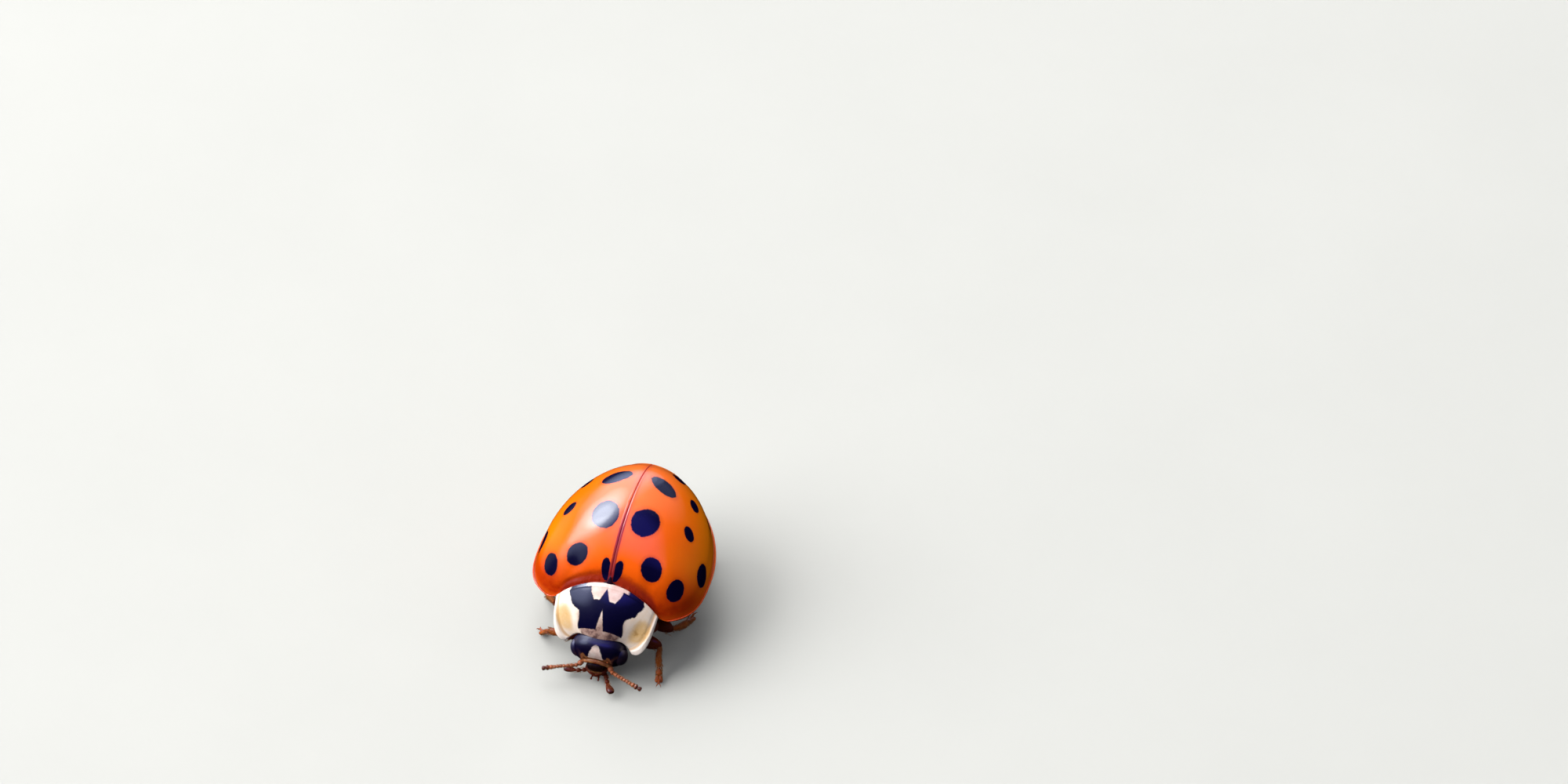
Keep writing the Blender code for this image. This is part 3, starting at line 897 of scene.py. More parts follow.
def add_thigh(shape, leg):
    _, trochanter, knee, _, _ = leg_places(leg)
    run = unit(knee - trochanter)
    share, swell = rounded(60, 3.4)
    start, end = trochanter + run * 0.045, knee + run * 0.02
    bent = (start, mixed(start, end, 0.5) + (0, -0.008, 0.010), end)
    plump = 0.74 + 0.26 * np.sin(math.pi * np.clip(share, 0, 1) ** 0.8)
    add_bent(shape, bent, 90, share, 0.076 * swell * plump, 0.092 * swell * plump, sides=32)


def shin_route(leg):
    _, _, knee, ankle, _ = leg_places(leg)
    run = unit(ankle - knee)
    bow = unit(np.cross(run, ABOVE)) * 0.012
    return smooth_route((knee - run * 0.015, mixed(knee, ankle, 0.5) + bow, ankle), 80)


def add_shin(shape, leg):
    """The shin with two short spurs near its end."""
    share, swell = rounded(60, 5)
    route = evenly(shin_route(leg), share)
    width = mixed(0.028, 0.044, ease(share, 0.05, 0.8))
    add_limb(shape, route, 0.82 * width * swell, width * swell, sides=26)
    run, side, rise = (way[-4] for way in cross_frame(route, ABOVE))
    share, _ = rounded(12)
    for turn in (-1, 1):
        root = route[-4] + side * 0.022 * turn - rise * 0.018
        spur = (root, root + run * 0.030, root + run * 0.055 - rise * 0.008)
        add_bent(shape, spur, 30, share, 0.006 * (1.02 - share), sides=10)


def foot_joints(leg):
    """Ends of the foot's lobed joints and of its claw joint, all above the floor, and the way ahead."""
    _, _, _, ankle, toe = leg_places(leg)
    ahead = unit((toe - ankle) * (1, 1, 0))
    length = max(np.linalg.norm((toe - ankle)[:2]), FOOT_LEAST)
    first, second, last = (ankle + ahead * length * share for share in FOOT_SHARES)
    first[2] = max(PAD_HEIGHT + 0.012, ankle[2] * 0.45 + PAD_HEIGHT * 0.55)
    second[2] = PAD_HEIGHT
    last[2] = CLAW_HEIGHT
    return ankle, first, second, last, ahead


def add_foot(shape, leg):
    """A foot of two lobed joints, the second split in two, and a slim joint that carries the claws."""
    ankle, first, second, last, ahead = foot_joints(leg)
    sideways = np.cross(ahead, ABOVE)
    share, swell = rounded(24, 2.8)
    lobe_width = mixed(0.45, 1.0, ease(share, 0, 0.9))
    route = evenly(np.stack((ankle, first + ahead * 0.018)), share)
    add_limb(shape, route, 0.040 * swell * lobe_width, 0.026 * swell, sides=24)
    for turn in (-1, 1):
        tip = second + ahead * 0.030 + sideways * 0.022 * turn - np.array((0, 0, 0.006))
        lobe = (first, mixed(first, tip, 0.5) + sideways * 0.008 * turn, tip)
        add_bent(shape, lobe, 40, share, 0.027 * swell * lobe_width, 0.023 * swell, sides=22)
    rise = np.array((0, 0, 0.014))
    claw_joint = (mixed(first, second, 0.6) + rise * 0.6, mixed(second, last, 0.5) + rise * 1.1, last)
    breadth, depth = (size * swell * mixed(0.7, 1.15, share) for size in (0.0145, 0.0135))
    add_bent(shape, claw_joint, 50, share, breadth, depth, sides=18)


def add_claws(shape, leg):
    """Two hooked claws, each with a tooth at its base."""
    _, _, _, last, ahead = foot_joints(leg)
    sideways = np.cross(ahead, ABOVE)
    down = np.array((0, 0, -1.0))
    share, _ = rounded(20)
    taper = 1.03 - share
    for turn in (-1, 1):
        root = last + sideways * 0.006 * turn - ahead * 0.008
        spread = unit(ahead + sideways * 0.55 * turn)
        hook = (root, root + spread * 0.030 + down * 0.004, root + spread * 0.046 + down * 0.028)
        add_bent(shape, hook, 40, share, 0.0085 * taper, sides=12)
        near, far = root + spread * 0.020 + down * 0.014, root + spread * 0.024 + down * 0.026
        add_bent(shape, (root + spread * 0.012, near, far), 30, share, 0.006 * taper, sides=10)


# ---- bristles


def limb_roots(route, breadth, depth, count, chance, lowest=-1.0, highest=1.0):
    """Random roots on a limb, the way out of it there, the way along it, and each root's share and turn."""
    share = chance.uniform(0.04, 0.97, count)
    turn = chance.uniform(0, 2 * math.pi, count * 4)
    turn = turn[(np.sin(turn) >= lowest) & (np.sin(turn) <= highest)][:count]
    share = share[: len(turn)]

    def between(rows):
        at = share * (len(route) - 1)
        return np.stack([np.interp(at, np.arange(len(route)), row) for row in rows.T], axis=1)

    def size(sizes):
        sizes = np.atleast_1d(sizes)
        return np.interp(share, np.linspace(0, 1, len(sizes)), sizes)[:, None]

    breadth, depth = size(breadth), size(depth)
    run, sideways, upward = (between(way) for way in cross_frame(route, ABOVE))
    cosine, sine = np.cos(turn)[:, None], np.sin(turn)[:, None]
    roots = between(route) + 0.96 * (sideways * cosine * breadth + upward * sine * depth)
    outward = unit(sideways * cosine / breadth + upward * sine / depth)
    return roots, outward, unit(run), share, turn / (2 * math.pi)


def add_bristles(shape, roots, directions, lengths, thickness, places, bend=(0, 0, -0.12)):
    """A thin curved three-sided bristle on each root, and its place, 0 to 1 both ways, on the unwrap."""
    directions = unit(directions)
    helper = np.where(np.abs(directions[:, 2:3]) < 0.9, (0.0, 0.0, 1.0), (1.0, 0.0, 0.0))
    side = unit(np.cross(directions, helper))
    rise = np.cross(side, directions)
    lengths = np.asarray(lengths)[:, None]
    corners = []
    for t in np.linspace(0, 1, BRISTLE_RINGS)[:-1]:
        middle = roots + directions * lengths * t + np.asarray(bend) * lengths * t * t
        for turn in BRISTLE_TURNS:
            spoke = side * math.cos(turn) + rise * math.sin(turn)
            corners.append(middle + spoke * thickness * (1 - 0.75 * t))
    corners.append(roots + directions * lengths + np.asarray(bend) * lengths)
    points = np.stack(corners, axis=1)
    points[..., 2] = np.maximum(points[..., 2], FLOOR + 0.001)
    count, each = points.shape[:2]
    last = (BRISTLE_RINGS - 2) * 3
    local = grid_faces(BRISTLE_RINGS - 1, 3, closed=True)
    local += [(last + k, last + (k + 1) % 3, each - 1) for k in range(3)] + [(2, 1, 0)]
    faces = [tuple(i * each + corner for corner in face) for i in range(count) for face in local]
    map_u = places[0][:, None] + np.linspace(0, PATCH, each)[None, :]
    map_v = places[1][:, None] + PATCH * (np.arange(each) % 3)[None, :] / 3
    shape.add(points, faces, map_u=map_u, map_v=map_v)


def add_leg_bristles(shape, leg, number, chance):
    """Short hairs on one leg, longest along the shin and dense under the lobes of the foot."""
    _, trochanter, knee, _, _ = leg_places(leg)
    ankle, first, second, _, ahead = foot_joints(leg)
    thigh = np.stack((trochanter, mixed(trochanter, knee, 0.5), knee))
    foot = np.stack((ankle, first, second))
    left, breadth = number / 6, 1 / 6.5
    bands = (
        (thigh, 0.066, 0.080, 160, 0.028, 0.5, 0.0),
        (shin_route(leg), (0.024, 0.030, 0.036), (0.028, 0.037, 0.044), 300, 0.032, 1.0, 0.25),
        (foot, 0.034, 0.024, 130, 0.024, 1.0, 0.5),
    )
    for route, wide, deep, count, length, highest, low in bands:
        roots, outward, run, share, turn = limb_roots(route, wide, deep, count, chance, highest=highest)
        lengths = length * chance.uniform(0.6, 1.2, len(roots))
        places = (left + breadth * share, low + 0.24 * turn)
        add_bristles(shape, roots, outward * 0.55 + run, lengths, 0.0022, places)
    pad = np.stack((ankle + ahead * 0.02, second + ahead * 0.02))
    roots, outward, run, share, turn = limb_roots(pad, 0.034, 0.022, 420, chance, highest=-0.35)
    room = np.clip(roots[:, 2] - FLOOR - 0.002, 0.004, 0.016)
    places = (left + breadth * share, 0.75 + 0.24 * turn)
    add_bristles(shape, roots, outward + 0.2 * run, room, 0.0018, places, bend=(0, 0, 0))


def add_belly_bristles(shape, chance):
    """Fine down that lies back along the underside."""
    count = 5200
    y = chance.uniform(-0.60, 1.12, count)
    share = chance.uniform(-0.93, 0.93, count)
    breadth, low, widest, _ = trunk_section(y)
    x = share * breadth
    height = arch(share, 0, 1, 1 / 0.425) ** 0.425
    z = widest + (low - widest) * height - belly_relief(x, y, breadth) * height
    directions = points_at(0.35 * share, 1.0, -0.38)
    directions += chance.normal(0, 0.08, directions.shape)
    lengths = chance.uniform(0.030, 0.055, count)
    places = ((x + 1) / 2.1, (y + 0.7) / 2.0)
    add_bristles(shape, points_at(x, y, z + 0.003), directions, lengths, 0.0020, places, bend=(0, 0, 0.08))


def add_head_bristles(shape, chance):
    """Sparse hairs on the feelers and palps and a fringe under the upper lip."""
    for number, (name, side) in enumerate(SIDES.items()):
        feeler = smooth_route(mirrored(FEELER[1:], side), 80)
        palp = smooth_route(PALPS[name][1:], 60)
        for route, radius, count, low in ((feeler, 0.019, 320, 0.0), (palp, 0.028, 240, 0.25)):
            roots, outward, run, share, turn = limb_roots(route, radius, radius, count, chance)
            lengths = chance.uniform(0.010, 0.022, len(roots))
            places = (0.48 * share + 0.5 * number, low + 0.24 * turn)
            add_bristles(shape, roots, outward * 0.8 + run, lengths, 0.0016, places)
    count = 90
    x = chance.uniform(-0.080, 0.080, count)
    roots = points_at(x, -1.232 + 0.9 * x * x, -0.478 + chance.uniform(-0.006, 0.006, count))
    places = (0.5 + 5 * x, np.full(count, 0.8))
    lengths = chance.uniform(0.012, 0.024, count)
    add_bristles(shape, roots, points_at(x, -0.5, -0.9), lengths, 0.0016, places)


# ---- finishes

# black spots of one wing case: middle, half-length, half-breadth, and the turn of the long axis from
# the X axis in the plane of the shell
SPOTS = (
    ((0.432, -0.462), 0.142, 0.118, 125),
    ((0.730, -0.520), 0.132, 0.100, 105),
    ((0.945, -0.140), 0.140, 0.102, 112),
    ((0.234, -0.015), 0.182, 0.160, 78),
    ((0.702, 0.135), 0.098, 0.066, 130),
    ((0.275, 0.590), 0.184, 0.110, 146),
    ((0.635, 0.602), 0.096, 0.068, 105),
    ((0.350, 0.965), 0.110, 0.085, 100),
    ((0.797, 0.660), 0.085, 0.068, 100),
    ((0.065, -0.568), 0.130, 0.056, 82),
    ((0.030, -0.690), 0.080, 0.062, 80),
)
SPOT_DEPTH = 0.16

# the black mark's side on the neck shield: the place along it and the half-breadth there
SHIELD_MARK = (
    (0.0, 0.70),
    (0.06, 0.73),
    (0.20, 0.69),
    (0.36, 0.65),
    (0.47, 0.56),
    (0.55, 0.515),
    (0.70, 0.535),
    (0.84, 0.60),
    (1.0, 0.60),
)

ORANGE = rgb(0.88, 0.110, 0.001)
# yellower orange of the flanks and rear: partly the shell's own tone, partly painted light, the look of a
# brightly lit side
FLANK_ORANGE = rgb(0.92, 0.240, 0.001)
# pink of a painted sheen laid beside the seam
PAINTED_SHEEN_ROSE = rgb(0.90, 0.190, 0.080)
# deep orange: painted shade low on the wing cases' front and towards their base, and the own colour of the
# underfold's clouds and of the rings round the spots
DEEP_ORANGE = rgb(0.30, 0.008, 0.0005)
SEAM_RED = rgb(0.50, 0.055, 0.035)
FORE_SEAM = rgb(0.21, 0.010, 0.020)
RIM_ORANGE = rgb(0.62, 0.085, 0.004)
# red-brown band at the wing cases' base: partly their own colour, partly painted shade where they meet the
# neck shield
BASE_RED = rgb(0.23, 0.011, 0.005)
INK = rgb(0.0018, 0.0012, 0.0200)
INK_BROWN = rgb(0.006, 0.003, 0.016)
CREAM = rgb(0.92, 0.68, 0.46)
WHITE = rgb(0.96, 0.85, 0.79)
HONEY = rgb(0.78, 0.48, 0.17)
TAN = rgb(0.66, 0.36, 0.12)
BROWN = rgb(0.46, 0.20, 0.06)
LIP_BROWN = rgb(0.42, 0.19, 0.065)
ROSE_CREAM = rgb(0.62, 0.36, 0.30)
DULL_CREAM = rgb(0.32, 0.17, 0.145)
AMBER = rgb(0.40, 0.095, 0.010)
ROSE_BROWN = rgb(0.44, 0.150, 0.060)
CHESTNUT = rgb(0.16, 0.020, 0.004)
DARK_CHESTNUT = rgb(0.040, 0.006, 0.002)


def dome_normal(x, y):
    step = 1e-4
    slope_x = float(dome_height(x + step, y) - dome_height(x - step, y)) / (2 * step)
    slope_y = float(dome_height(x, y + step) - dome_height(x, y - step)) / (2 * step)
    return Vector((-slope_x, -slope_y, 1)).normalized()


def spot_distance(finish, folded, spot):
    """Distance from the spot's middle in its own half-sizes: 1 on its outline."""
    (x, y), long, broad, turn = spot
    normal = dome_normal(x, y)
    backward = (Vector((0, 1, 0)) - normal * normal.y).normalized()
    sideways = backward.cross(normal)
    angle = math.radians(turn)
    long_way = sideways * math.cos(angle) + backward * math.sin(angle)
    axes = Matrix((long_way, normal.cross(long_way), normal)).transposed()
    inputs = {
        "Vector": folded,
        "Location": (x, y, float(dome_height(x, y))),
        "Rotation": axes.to_euler(),
        "Scale": (long, broad, SPOT_DEPTH),
    }
    local = finish.node("Mapping", inputs, vector_type="TEXTURE").outputs[0]
    return finish.value("Value", "VectorMath", {0: local}, operation="LENGTH")


def wing_case_finish():
    """Orange with black spots, a dark seam in front, a duller rim and a red-brown band at the base that is
    partly painted shade; painted shade also deepens it low on the front and towards the base, the yellower
    flanks and rear are partly its own tone and partly painted light, and a painted pink sheen lies by the
    seam.
    """
    finish = Finish("polished wing case", Coat_Weight=1.0, Coat_Roughness=0.10, Coat_IOR=1.5, IOR=1.15)
    step = finish.step
    x, y, z = finish.axes()
    across = abs(x)
    edge, based = finish.read("edge"), finish.read("based")
    folded = finish.node("CombineXYZ", {0: across, 1: y, 2: z}).outputs[0]
    cloud = finish.noise(3.0, 4.0)
    grain = finish.noise(26.0)
    smear = finish.noise(12.0, 5.0, 0.65)
    stipple = finish.pits(52.0)

    nearest = spot_distance(finish, folded, SPOTS[0])
    for spot in SPOTS[1:]:
        nearest = finish.least(nearest, spot_distance(finish, folded, spot))
    ragged = nearest + finish.noise(6.0, 2.0) * 0.20 + grain * 0.10 + (stipple - 0.5) * 0.05
    fore_seam = step(across + grain * 0.01, 0.034, 0.020) * step(y, 0.35, -0.20)
    black = step(ragged, 1.04, 0.96) * (1.0 - fore_seam)
    # flanks and rear: their yellower orange is partly the shell's own tone and partly painted light, the
    # look of a brightly lit side
    flank = step(z, 0.72, 0.25) * step(y, -0.55, -0.10)
    rear = step(y, -0.35, 0.85)
    # painted sheen: a pink haze of reflected light laid beside the seam
    rosy_sheen = step(across, 0.60, 0.12) * step(y, -0.50, -0.05)
    # painted shade: the orange deepens low on the front and towards the base; only the clouds and the
    # smudges near the base in this mix are the shell's own
    low = step(z, 0.50, 0.12) * step(y, 0.05, -0.60)
    toward_base = step(y, -0.45, -0.80)
    deep = finish.most(low * 0.80, toward_base * 0.7) + cloud * 0.10 + smear * toward_base * 0.9
    finish.paint(
        ORANGE,
        (flank * 0.75 + rear * 0.35 + cloud * 0.25, FLANK_ORANGE),
        (rosy_sheen * 0.30, PAINTED_SHEEN_ROSE),
        # painted shade low on the front and towards the base, with the shell's own clouds and smudges
        (deep, DEEP_ORANGE),
        (step(ragged, 1.35, 1.0) * 0.25, DEEP_ORANGE),
        # the base's red-brown band: partly its own colour, partly painted shade where the shell meets the
        # neck shield
        (step(edge + grain * 0.03, 0.135, 0.050) * based * 0.88, BASE_RED),
        (step(edge, 0.040, 0.020) * (1.0 - based) * 0.8, RIM_ORANGE),
        (step(across, 0.075, 0.012) * 0.35, SEAM_RED),
        (step(across, 0.014, 0.005) * 0.9, SEAM_RED),
        (black, INK),
        (fore_seam * 0.85, FORE_SEAM),
    )
    finish.roughness(0.30 + cloud * 0.10 + stipple * 0.06)
    crinkled = based * step(edge, 0.24, 0.06)
    rough = grain * (0.5 + crinkled * 4.0) - step(stipple, 0.22, 0.05)
    finish.relief(rough + crinkled * cloud * 8.0, 0.0010)
    return finish


def shield_finish():
    """Cream with a black mark: two broad lobes, a pointed stem between two notches, a pale middle strip."""
    finish = Finish("neck shield", Coat_Weight=1.0, Coat_Roughness=0.10, Coat_IOR=1.5)
    step = finish.step
    mottle = finish.noise(11.0, 5.0, 0.65)
    grain = finish.noise(38.0)
    ragged = grain * 0.035
    across = abs(finish.read("across"))
    s = across + ragged
    v = finish.read("along") + ragged

    soft = 0.012
    black = step(s - finish.curve(v, SHIELD_MARK), soft, -soft) * step(v, 0.905, 0.885)
    stem = finish.most(v - 0.06, 0.0) * 0.46
    notch_side = 0.31 - v * v * 1.1
    notch = step(s - stem, -soft, soft) * step(s - notch_side, soft, -soft) * step(v, 0.30, 0.275)
    hind_line = step(v, 0.045, 0.028) * step(s, 0.43, 0.37)
    strip = step(s - (v - 0.49) * 0.25, soft, -soft)
    black = black * (1.0 - notch) * (1.0 - hind_line) * (1.0 - strip)

    from_side = (1.0 - across) * SHIELD_SIDE_SCALE
    centre_s = (s - 0.84) / 0.15
    centre_v = (v - 0.62) / 0.34
    centre = step(centre_s * centre_s + centre_v * centre_v + mottle * 1.6, 1.4, 0.25)
    middle = step(s, 0.62, 0.5)
    fore_strip = middle * step(v, 0.35, 0.9)
    finish.paint(
        WHITE,
        (0.35 + mottle, CREAM),
        (centre * (0.84 + mottle * 0.8), HONEY),
        (centre * step(mottle, 0.05, 0.20) * 0.6, BROWN),
        (step(abs(from_side - 0.040), 0.012, 0.003) * 0.65, TAN),
        (step(from_side, 0.032, 0.020) * 0.8, WHITE),
        (fore_strip * (0.85 + mottle), DULL_CREAM),
        (fore_strip * step(mottle, 0.02, 0.16) * 0.6, INK_BROWN),
        (middle * step(v, 0.33, 0.20) * (0.60 + mottle * 1.2), ROSE_CREAM),
        (black, INK),
    )
    finish.roughness(0.32 + mottle * 0.12)
    finish.pricked(grain * 0.6, 56.0, 0.30, 0.0008)
    return finish


def head_finish():
    """Blue-black with a pale wedge on the forehead and a tan band along the lip."""
    finish = Finish("head", Coat_Weight=0.9, Coat_Roughness=0.16, Coat_IOR=1.75)
    step = finish.step
    x, _, _ = finish.axes()
    mottle = finish.noise(14.0, 5.0, 0.65)
    grain = finish.noise(45.0)
    facing = finish.read("facing")
    pitch = finish.read("pitch") + grain * 10.0
    side = abs(x) + grain * 0.02
    wedge_side = 0.084 * finish.most((78.0 - pitch) / 50.0, 0.0) ** 0.5
    wedge = step(side - wedge_side, 0.006, -0.006) * step(pitch, 20.0, 24.0) * facing
    prongs = step(abs(side - 0.145), 0.040, 0.005) * 12.0
    band = step(pitch - prongs, 27.0, 23.0) * step(side, 0.185, 0.165) * facing
    finish.paint(
        INK,
        (0.35 + mottle * 0.6, INK_BROWN),
        (band * 0.92, finish.mix(0.50 + mottle * 3.0, LIP_BROWN, CHESTNUT)),
        (wedge, finish.mix(0.4 + mottle * 1.2, WHITE, ROSE_CREAM)),
    )
    crown = step(pitch, 72.0, 98.0)
    finish.fill(finish.shader.inputs["Coat Weight"], 0.9 - crown * 0.8)
    finish.roughness(0.34 + crown * 0.2 + mottle * 0.15)
    finish.pricked(grain * 0.8, 60.0, 0.30, 0.0011, core=0.06)
    return finish


def eye_finish():
    """Blue-black lenses, darker between them."""
    finish = Finish("compound eye", Coat_Weight=1.0, Coat_Roughness=0.32, Coat_IOR=2.0)
    valley = finish.step(finish.read("away"), 0.75, 1.05)
    lens_share = 0.3 + finish.noise(8.0)
    finish.paint(rgb(0.012, 0.010, 0.050), (lens_share, INK), (valley * 0.7, rgb(0.002, 0.001, 0.004)))
    finish.roughness(0.42 + valley * 0.2)
    finish.relief(finish.noise(80.0), 0.001)
    return finish


def plain_finish(name, main, shade, share, cloud, rough, grain=(), **constants):
    """Clouds of main and shade; grain is the scale and the depth of its fine relief.

    cloud is the noise's scale, its other measures and last its contrast, and rough the roughness and
    how much of the clouds is in it.
    """
    finish = Finish(name, **constants)
    *measures, contrast = cloud
    mottle = finish.noise(*measures)
    finish.paint(finish.mix(share + mottle * contrast, main, shade))
    finish.roughness(rough[0] + mottle * rough[1])
    if grain:
        scale, depth = grain
        finish.relief(finish.noise(scale), depth)
    return finish


def mouth_finish(name, main, shade):
    ways = {"Coat_Weight": 0.35, "Coat_Roughness": 0.25, "IOR": 1.3}
    return plain_finish(name, main, shade, 0.45, (16.0, 4.0, 1.3), (0.38, 0.2), (55.0, 0.004), **ways)


def limb_finish(name, main, shade, tip_from=2.0):
    """Amber-brown shell, darker where the limb's joints meet and beyond tip_from along the whole limb."""
    finish = Finish(name, Coat_Weight=0.35, Coat_Roughness=0.18, IOR=1.3)
    mottle = finish.noise(12.0, 5.0, 0.6)
    ends = finish.step(abs(finish.read("along") - 0.5), 0.36, 0.5)
    tip = finish.step(finish.read("reach"), tip_from - 0.06, tip_from + 0.02)
    finish.paint(main, (0.38 + mottle * 1.3, shade), (ends * 0.6, shade), (tip * 0.85, DARK_CHESTNUT))
    finish.roughness(0.36 + mottle * 0.2)
    finish.pricked(finish.noise(70.0) * 0.5, 40.0, 0.30, 0.003)
    return finish


def underside_finish():
    """Black-brown breast; a hind body dark down the middle and amber towards its sides."""
    finish = Finish("underside", Coat_Weight=0.5, Coat_Roughness=0.25)
    step = finish.step
    _, y, _ = finish.axes()
    mottle = finish.noise(9.0, 5.0, 0.6)
    outward = finish.read("outward") + mottle * 0.25
    amber = step(outward, 0.30, 0.62) * step(y, 0.18, 0.26)
    tail = step(y + mottle * 0.2, 0.80, 1.02)
    fore = step(y, -0.60, -0.68) * step(outward, 0.45, 0.75)
    finish.paint(
        DARK_CHESTNUT,
        (0.4 + mottle, INK_BROWN),
        (finish.most(amber, tail * 0.8), finish.mix(0.35 + mottle, AMBER, CHESTNUT)),
        (fore * 0.8, CHESTNUT),
    )
    finish.roughness(0.40 + mottle * 0.2)
    finish.pricked(finish.noise(48.0) * 0.7, 28.0, 0.28, 0.005)
    return finish


# ---- studio


def direction(azimuth, elevation):
    """The way to a point seen at that azimuth, from -Y towards +X, and elevation."""
    turn, height = math.radians(azimuth), math.radians(elevation)
    level = math.cos(height)
    return Vector((math.sin(turn) * level, -math.cos(turn) * level, math.sin(height)))


def add_camera():
    back = direction(CAMERA_AZIMUTH, CAMERA_ELEVATION)
    level = back.to_track_quat("Z", "Y").to_matrix()
    pan = Matrix.Rotation(-math.radians(CAMERA_PAN), 3, "Y")
    tilt = Matrix.Rotation(math.radians(CAMERA_TILT), 3, "X")
    data = bpy.data.cameras.new("camera")
    data.lens = CAMERA_LENS
    data.sensor_width = CAMERA_SENSOR
    data.clip_start, data.clip_end = 0.005, 20.0
    camera = bpy.data.objects.new("camera", data)
    place = Vector(in_metres((0, 0, 0))) + back * CAMERA_DISTANCE * HALF_BREADTH
    camera.matrix_world = Matrix.Translation(place) @ (level @ pan @ tilt).to_4x4()
    bpy.context.scene.collection.objects.link(camera)
    bpy.context.scene.camera = camera


def add_lamp(name, azimuth, elevation, across, tall, radiance, colour, roll=0.0, shine=False, far=1.0):
    """An oval lamp, across by tall degrees as the beetle sees it, for its shine or else for its light."""
    distance = LAMP_DISTANCE * far
    data = bpy.data.lights.new(name, "AREA")
    data.shape = "ELLIPSE"
    data.size = 2 * distance * math.tan(math.radians(across / 2))
    data.size_y = 2 * distance * math.tan(math.radians(tall / 2))
    data.energy = radiance * math.pi * data.size * data.size_y * math.pi / 4
    data.color = colour
    lamp = bpy.data.objects.new(name, data)
    away = direction(azimuth, elevation)
    lamp.location = Vector(in_metres(LAMP_TARGET)) + away * distance
    lamp.rotation_mode = "QUATERNION"
    lamp.rotation_quaternion = away.to_track_quat("Z", "Y") @ Quaternion((0, 0, 1), math.radians(roll))
    lamp.visible_glossy = shine
    lamp.visible_diffuse = not shine
    bpy.context.scene.collection.objects.link(lamp)


def add_shine(name, azimuth, elevation, across, tall, radiance, colour, roll=0.0, far=1.0):
    """Ovals inside each other that the polish shows as one patch of light with a soft border."""
    share = radiance / len(SHINE_SIZES)
    for size in SHINE_SIZES:
        span = across * size, tall * size
        add_lamp(name, azimuth, elevation, *span, share, colour, roll, shine=True, far=far * size)


def add_floor():
    """A level floor that sweeps up far behind on every side."""
    columns = 96
    bend = np.radians(np.linspace(0, 70, 15))
    radii = np.concatenate(([0.1, 0.4], SWEEP_RADIUS + SWEEP_BEND * np.sin(bend)))[:, None]
    heights = np.concatenate(([0.0, 0.0], SWEEP_BEND * (1 - np.cos(bend))))[:, None]
    turn = full_turn(columns)
    points = points_at(radii * np.cos(turn), radii * np.sin(turn), heights)
    centre = (0, *range(columns - 1, 0, -1))  # wound the same way as the quads round it
    faces = grid_faces(len(radii), columns, closed=True) + [centre]
    mesh = bpy.data.meshes.new("floor")
    mesh.from_pydata(points.reshape(-1, 3).tolist(), [], faces)
    mesh.shade_smooth()
    colours = rgb(0.50, 0.51, 0.50), rgb(0.47, 0.48, 0.47)
    look = plain_finish("pale studio floor", *colours, 0.5, (0.4, 1.0), (0.7, 0.1), Specular_IOR_Level=0.0)
    mesh.materials.append(look.material)
    floor = bpy.data.objects.new("floor", mesh)
    floor.visible_glossy = False
    floor.visible_diffuse = False
    bpy.context.scene.collection.objects.link(floor)


def add_studio():
    world = bpy.data.worlds.new("studio air")
    world.use_nodes = True
    air = world.node_tree.nodes["Background"]
    air.inputs["Color"].default_value = rgb(0.80, 0.86, 1.0)
    air.inputs["Strength"].default_value = 0.13
    world.cycles_visibility.glossy = False
    bpy.context.scene.world = world
    bpy.context.scene.view_settings.view_transform = "Standard"
    warm, cool = (1.0, 0.98, 0.95), (0.84, 0.88, 1.0)
    pale_blue, sky = (0.60, 0.68, 1.0), (0.10, 0.09, 1.0)
    add_lamp("key light", -140, 50, 60, 60, 4.4, warm)
    add_lamp("side light", -70, 32, 60, 50, 6.5, warm)
    add_lamp("right light", 120, 25, 60, 60, 0.5, warm)
    add_lamp("overhead light", 15, 68, 60, 60, 0.45, warm)
    add_shine("broad shine", -146, 33, 80, 44, 3.4, pale_blue, 36)
    add_shine("sky shine", 0, 90, 60, 60, 1.3, sky, far=1.8)
    add_shine("hot shine", -120, 47, 50, 34, 8.0, cool, 20)
    add_shine("hot middle", -118, 49, 28, 18, 14.0, cool, 20)
    add_shine("back shine", 172, 32, 50, 50, 0.6, pale_blue)
    add_shine("front shine", -80, 38, 50, 40, 1.8, pale_blue)
    add_shine("low shine", -105, 4, 60, 30, 0.35, cool)
    add_floor()


# ---- assembly


def made(build, *arguments):
    """A shape filled by build."""
    shape = Shape()
    build(shape, *arguments)
    return shape


def build_shell():
    case = wing_case_finish()
    ways = {"Coat_Weight": 0.5, "Coat_Roughness": 0.15}
    cloud, rough = (8.0, 4.0, 1.0), (0.38, 0.2)
    fold = plain_finish(
        "wing case underfold", RIM_ORANGE, DEEP_ORANGE, 0.4, cloud, rough, (60.0, 0.003), **ways
    )
    for name, side in SIDES.items():
        made(add_wing_case, side).piece(f"wing_case_{name}", case, "wing_case", f"elytron_{name}")
        made(add_case_underfold, side).piece(f"wing_case_underfold_{name}", fold, "wing_case")
    made(add_shield).piece("neck_shield_plate", shield_finish(), "neck_shield", "pronotum")
    ways = {"Coat_Weight": 0.8, "Coat_Roughness": 0.12}
    cloud, rough = (30.0, 4.0, 1.0), (0.35, 0.2)
    plate = plain_finish("scutellum", INK, DARK_CHESTNUT, 0.3, cloud, rough, (70.0, 0.003), **ways)
    made(add_scutellum).piece("scutellum_plate", plate, "scutellum", "scutellum")
    belly = made(add_trunk)
    belly.piece("underside_skin", underside_finish(), "underside", "thorax", "abdomen", "prothorax")


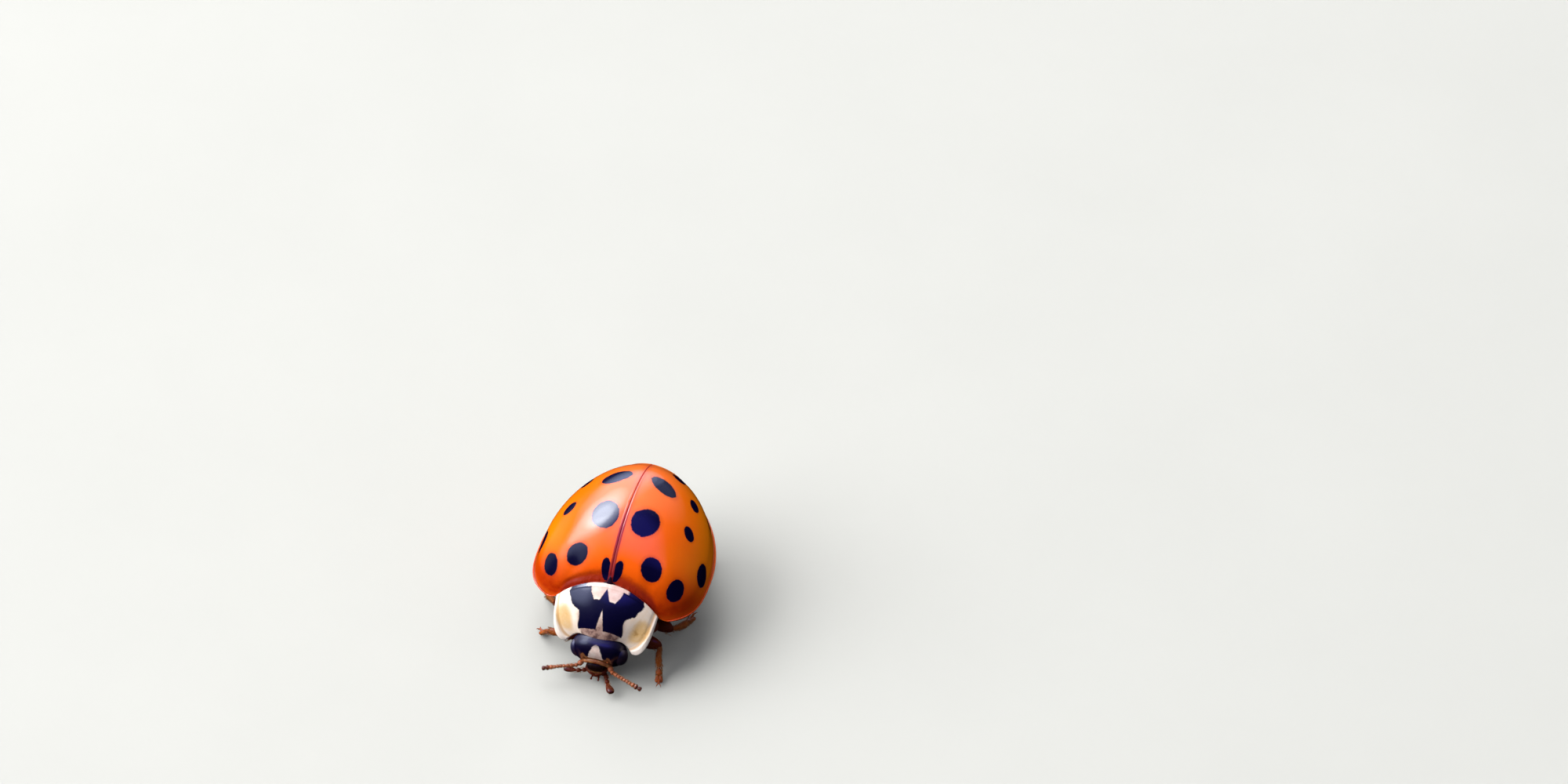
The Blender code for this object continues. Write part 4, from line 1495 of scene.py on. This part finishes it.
def build_head():
    made(add_head).piece("head_skin", head_finish(), "head", "head")
    eye = eye_finish()
    feeler = limb_finish("feeler shell", ROSE_BROWN, CHESTNUT, 0.86)
    palp = limb_finish("palp shell", CHESTNUT, DARK_CHESTNUT, 0.9)
    for name, side in SIDES.items():
        made(add_eye, side).piece(f"compound_eye_{name}", eye, "eye", f"eye_{name}")
        made(add_feeler, side).piece(f"feeler_{name}", feeler, "feeler", f"antenna_{name}")
        made(add_palp, name).piece(f"mouth_feeler_{name}", palp, "feeler", f"palp_{name}")
    ways = {"Coat_Weight": 0.5, "Coat_Roughness": 0.2}
    cloud, rough = (22.0, 5.0, 0.7, 3.5), (0.42, 0.2)
    tan = plain_finish("tan lip", LIP_BROWN, CHESTNUT, 0.50, cloud, rough, (60.0, 0.005), **ways)
    made(add_clypeus).piece("lip_arch", tan, "head")
    lip = mouth_finish("upper lip", rgb(0.014, 0.004, 0.003), rgb(0.004, 0.002, 0.003))
    made(add_labrum).piece("upper_lip", lip, "mouth", "labrum")
    jaws = mouth_finish("jaws", CHESTNUT, DARK_CHESTNUT)
    made(add_jaws).piece("jaws", jaws, "mouth", "mouthparts")


def build_legs():
    thigh = limb_finish("thigh shell", CHESTNUT, DARK_CHESTNUT)
    shin = limb_finish("shin and foot shell", AMBER, CHESTNUT)
    claw = mouth_finish("claw horn", AMBER, DARK_CHESTNUT)
    for leg in LEGS:
        made(add_hip, leg).piece(f"hip_{leg}", thigh, "leg", f"coxa_{leg}")
        made(add_thigh, leg).piece(f"thigh_{leg}", thigh, "leg", f"femur_{leg}")
        made(add_shin, leg).piece(f"shin_{leg}", shin, "leg", f"tibia_{leg}")
        made(add_foot, leg).piece(f"foot_{leg}", shin, "leg", f"tarsus_{leg}")
        made(add_claws, leg).piece(f"claws_{leg}", claw, "leg")


def build_bristles():
    dark = rgb(0.24, 0.08, 0.02)
    finish = plain_finish("pale bristles", BROWN, dark, 0.5, (5.0, 1.0), (0.5, 0.2), Coat_Weight=0.2)
    chance = np.random.default_rng(7)
    legs = Shape()
    for number, leg in enumerate(LEGS):
        add_leg_bristles(legs, leg, number, chance)
    legs.piece("leg_bristles", finish, "leg", weld=0)
    made(add_belly_bristles, chance).piece("underside_bristles", finish, "underside", weld=0)
    made(add_head_bristles, chance).piece("head_bristles", finish, "feeler", weld=0)


add_camera()
add_studio()
build_shell()
build_head()
build_legs()
build_bristles()
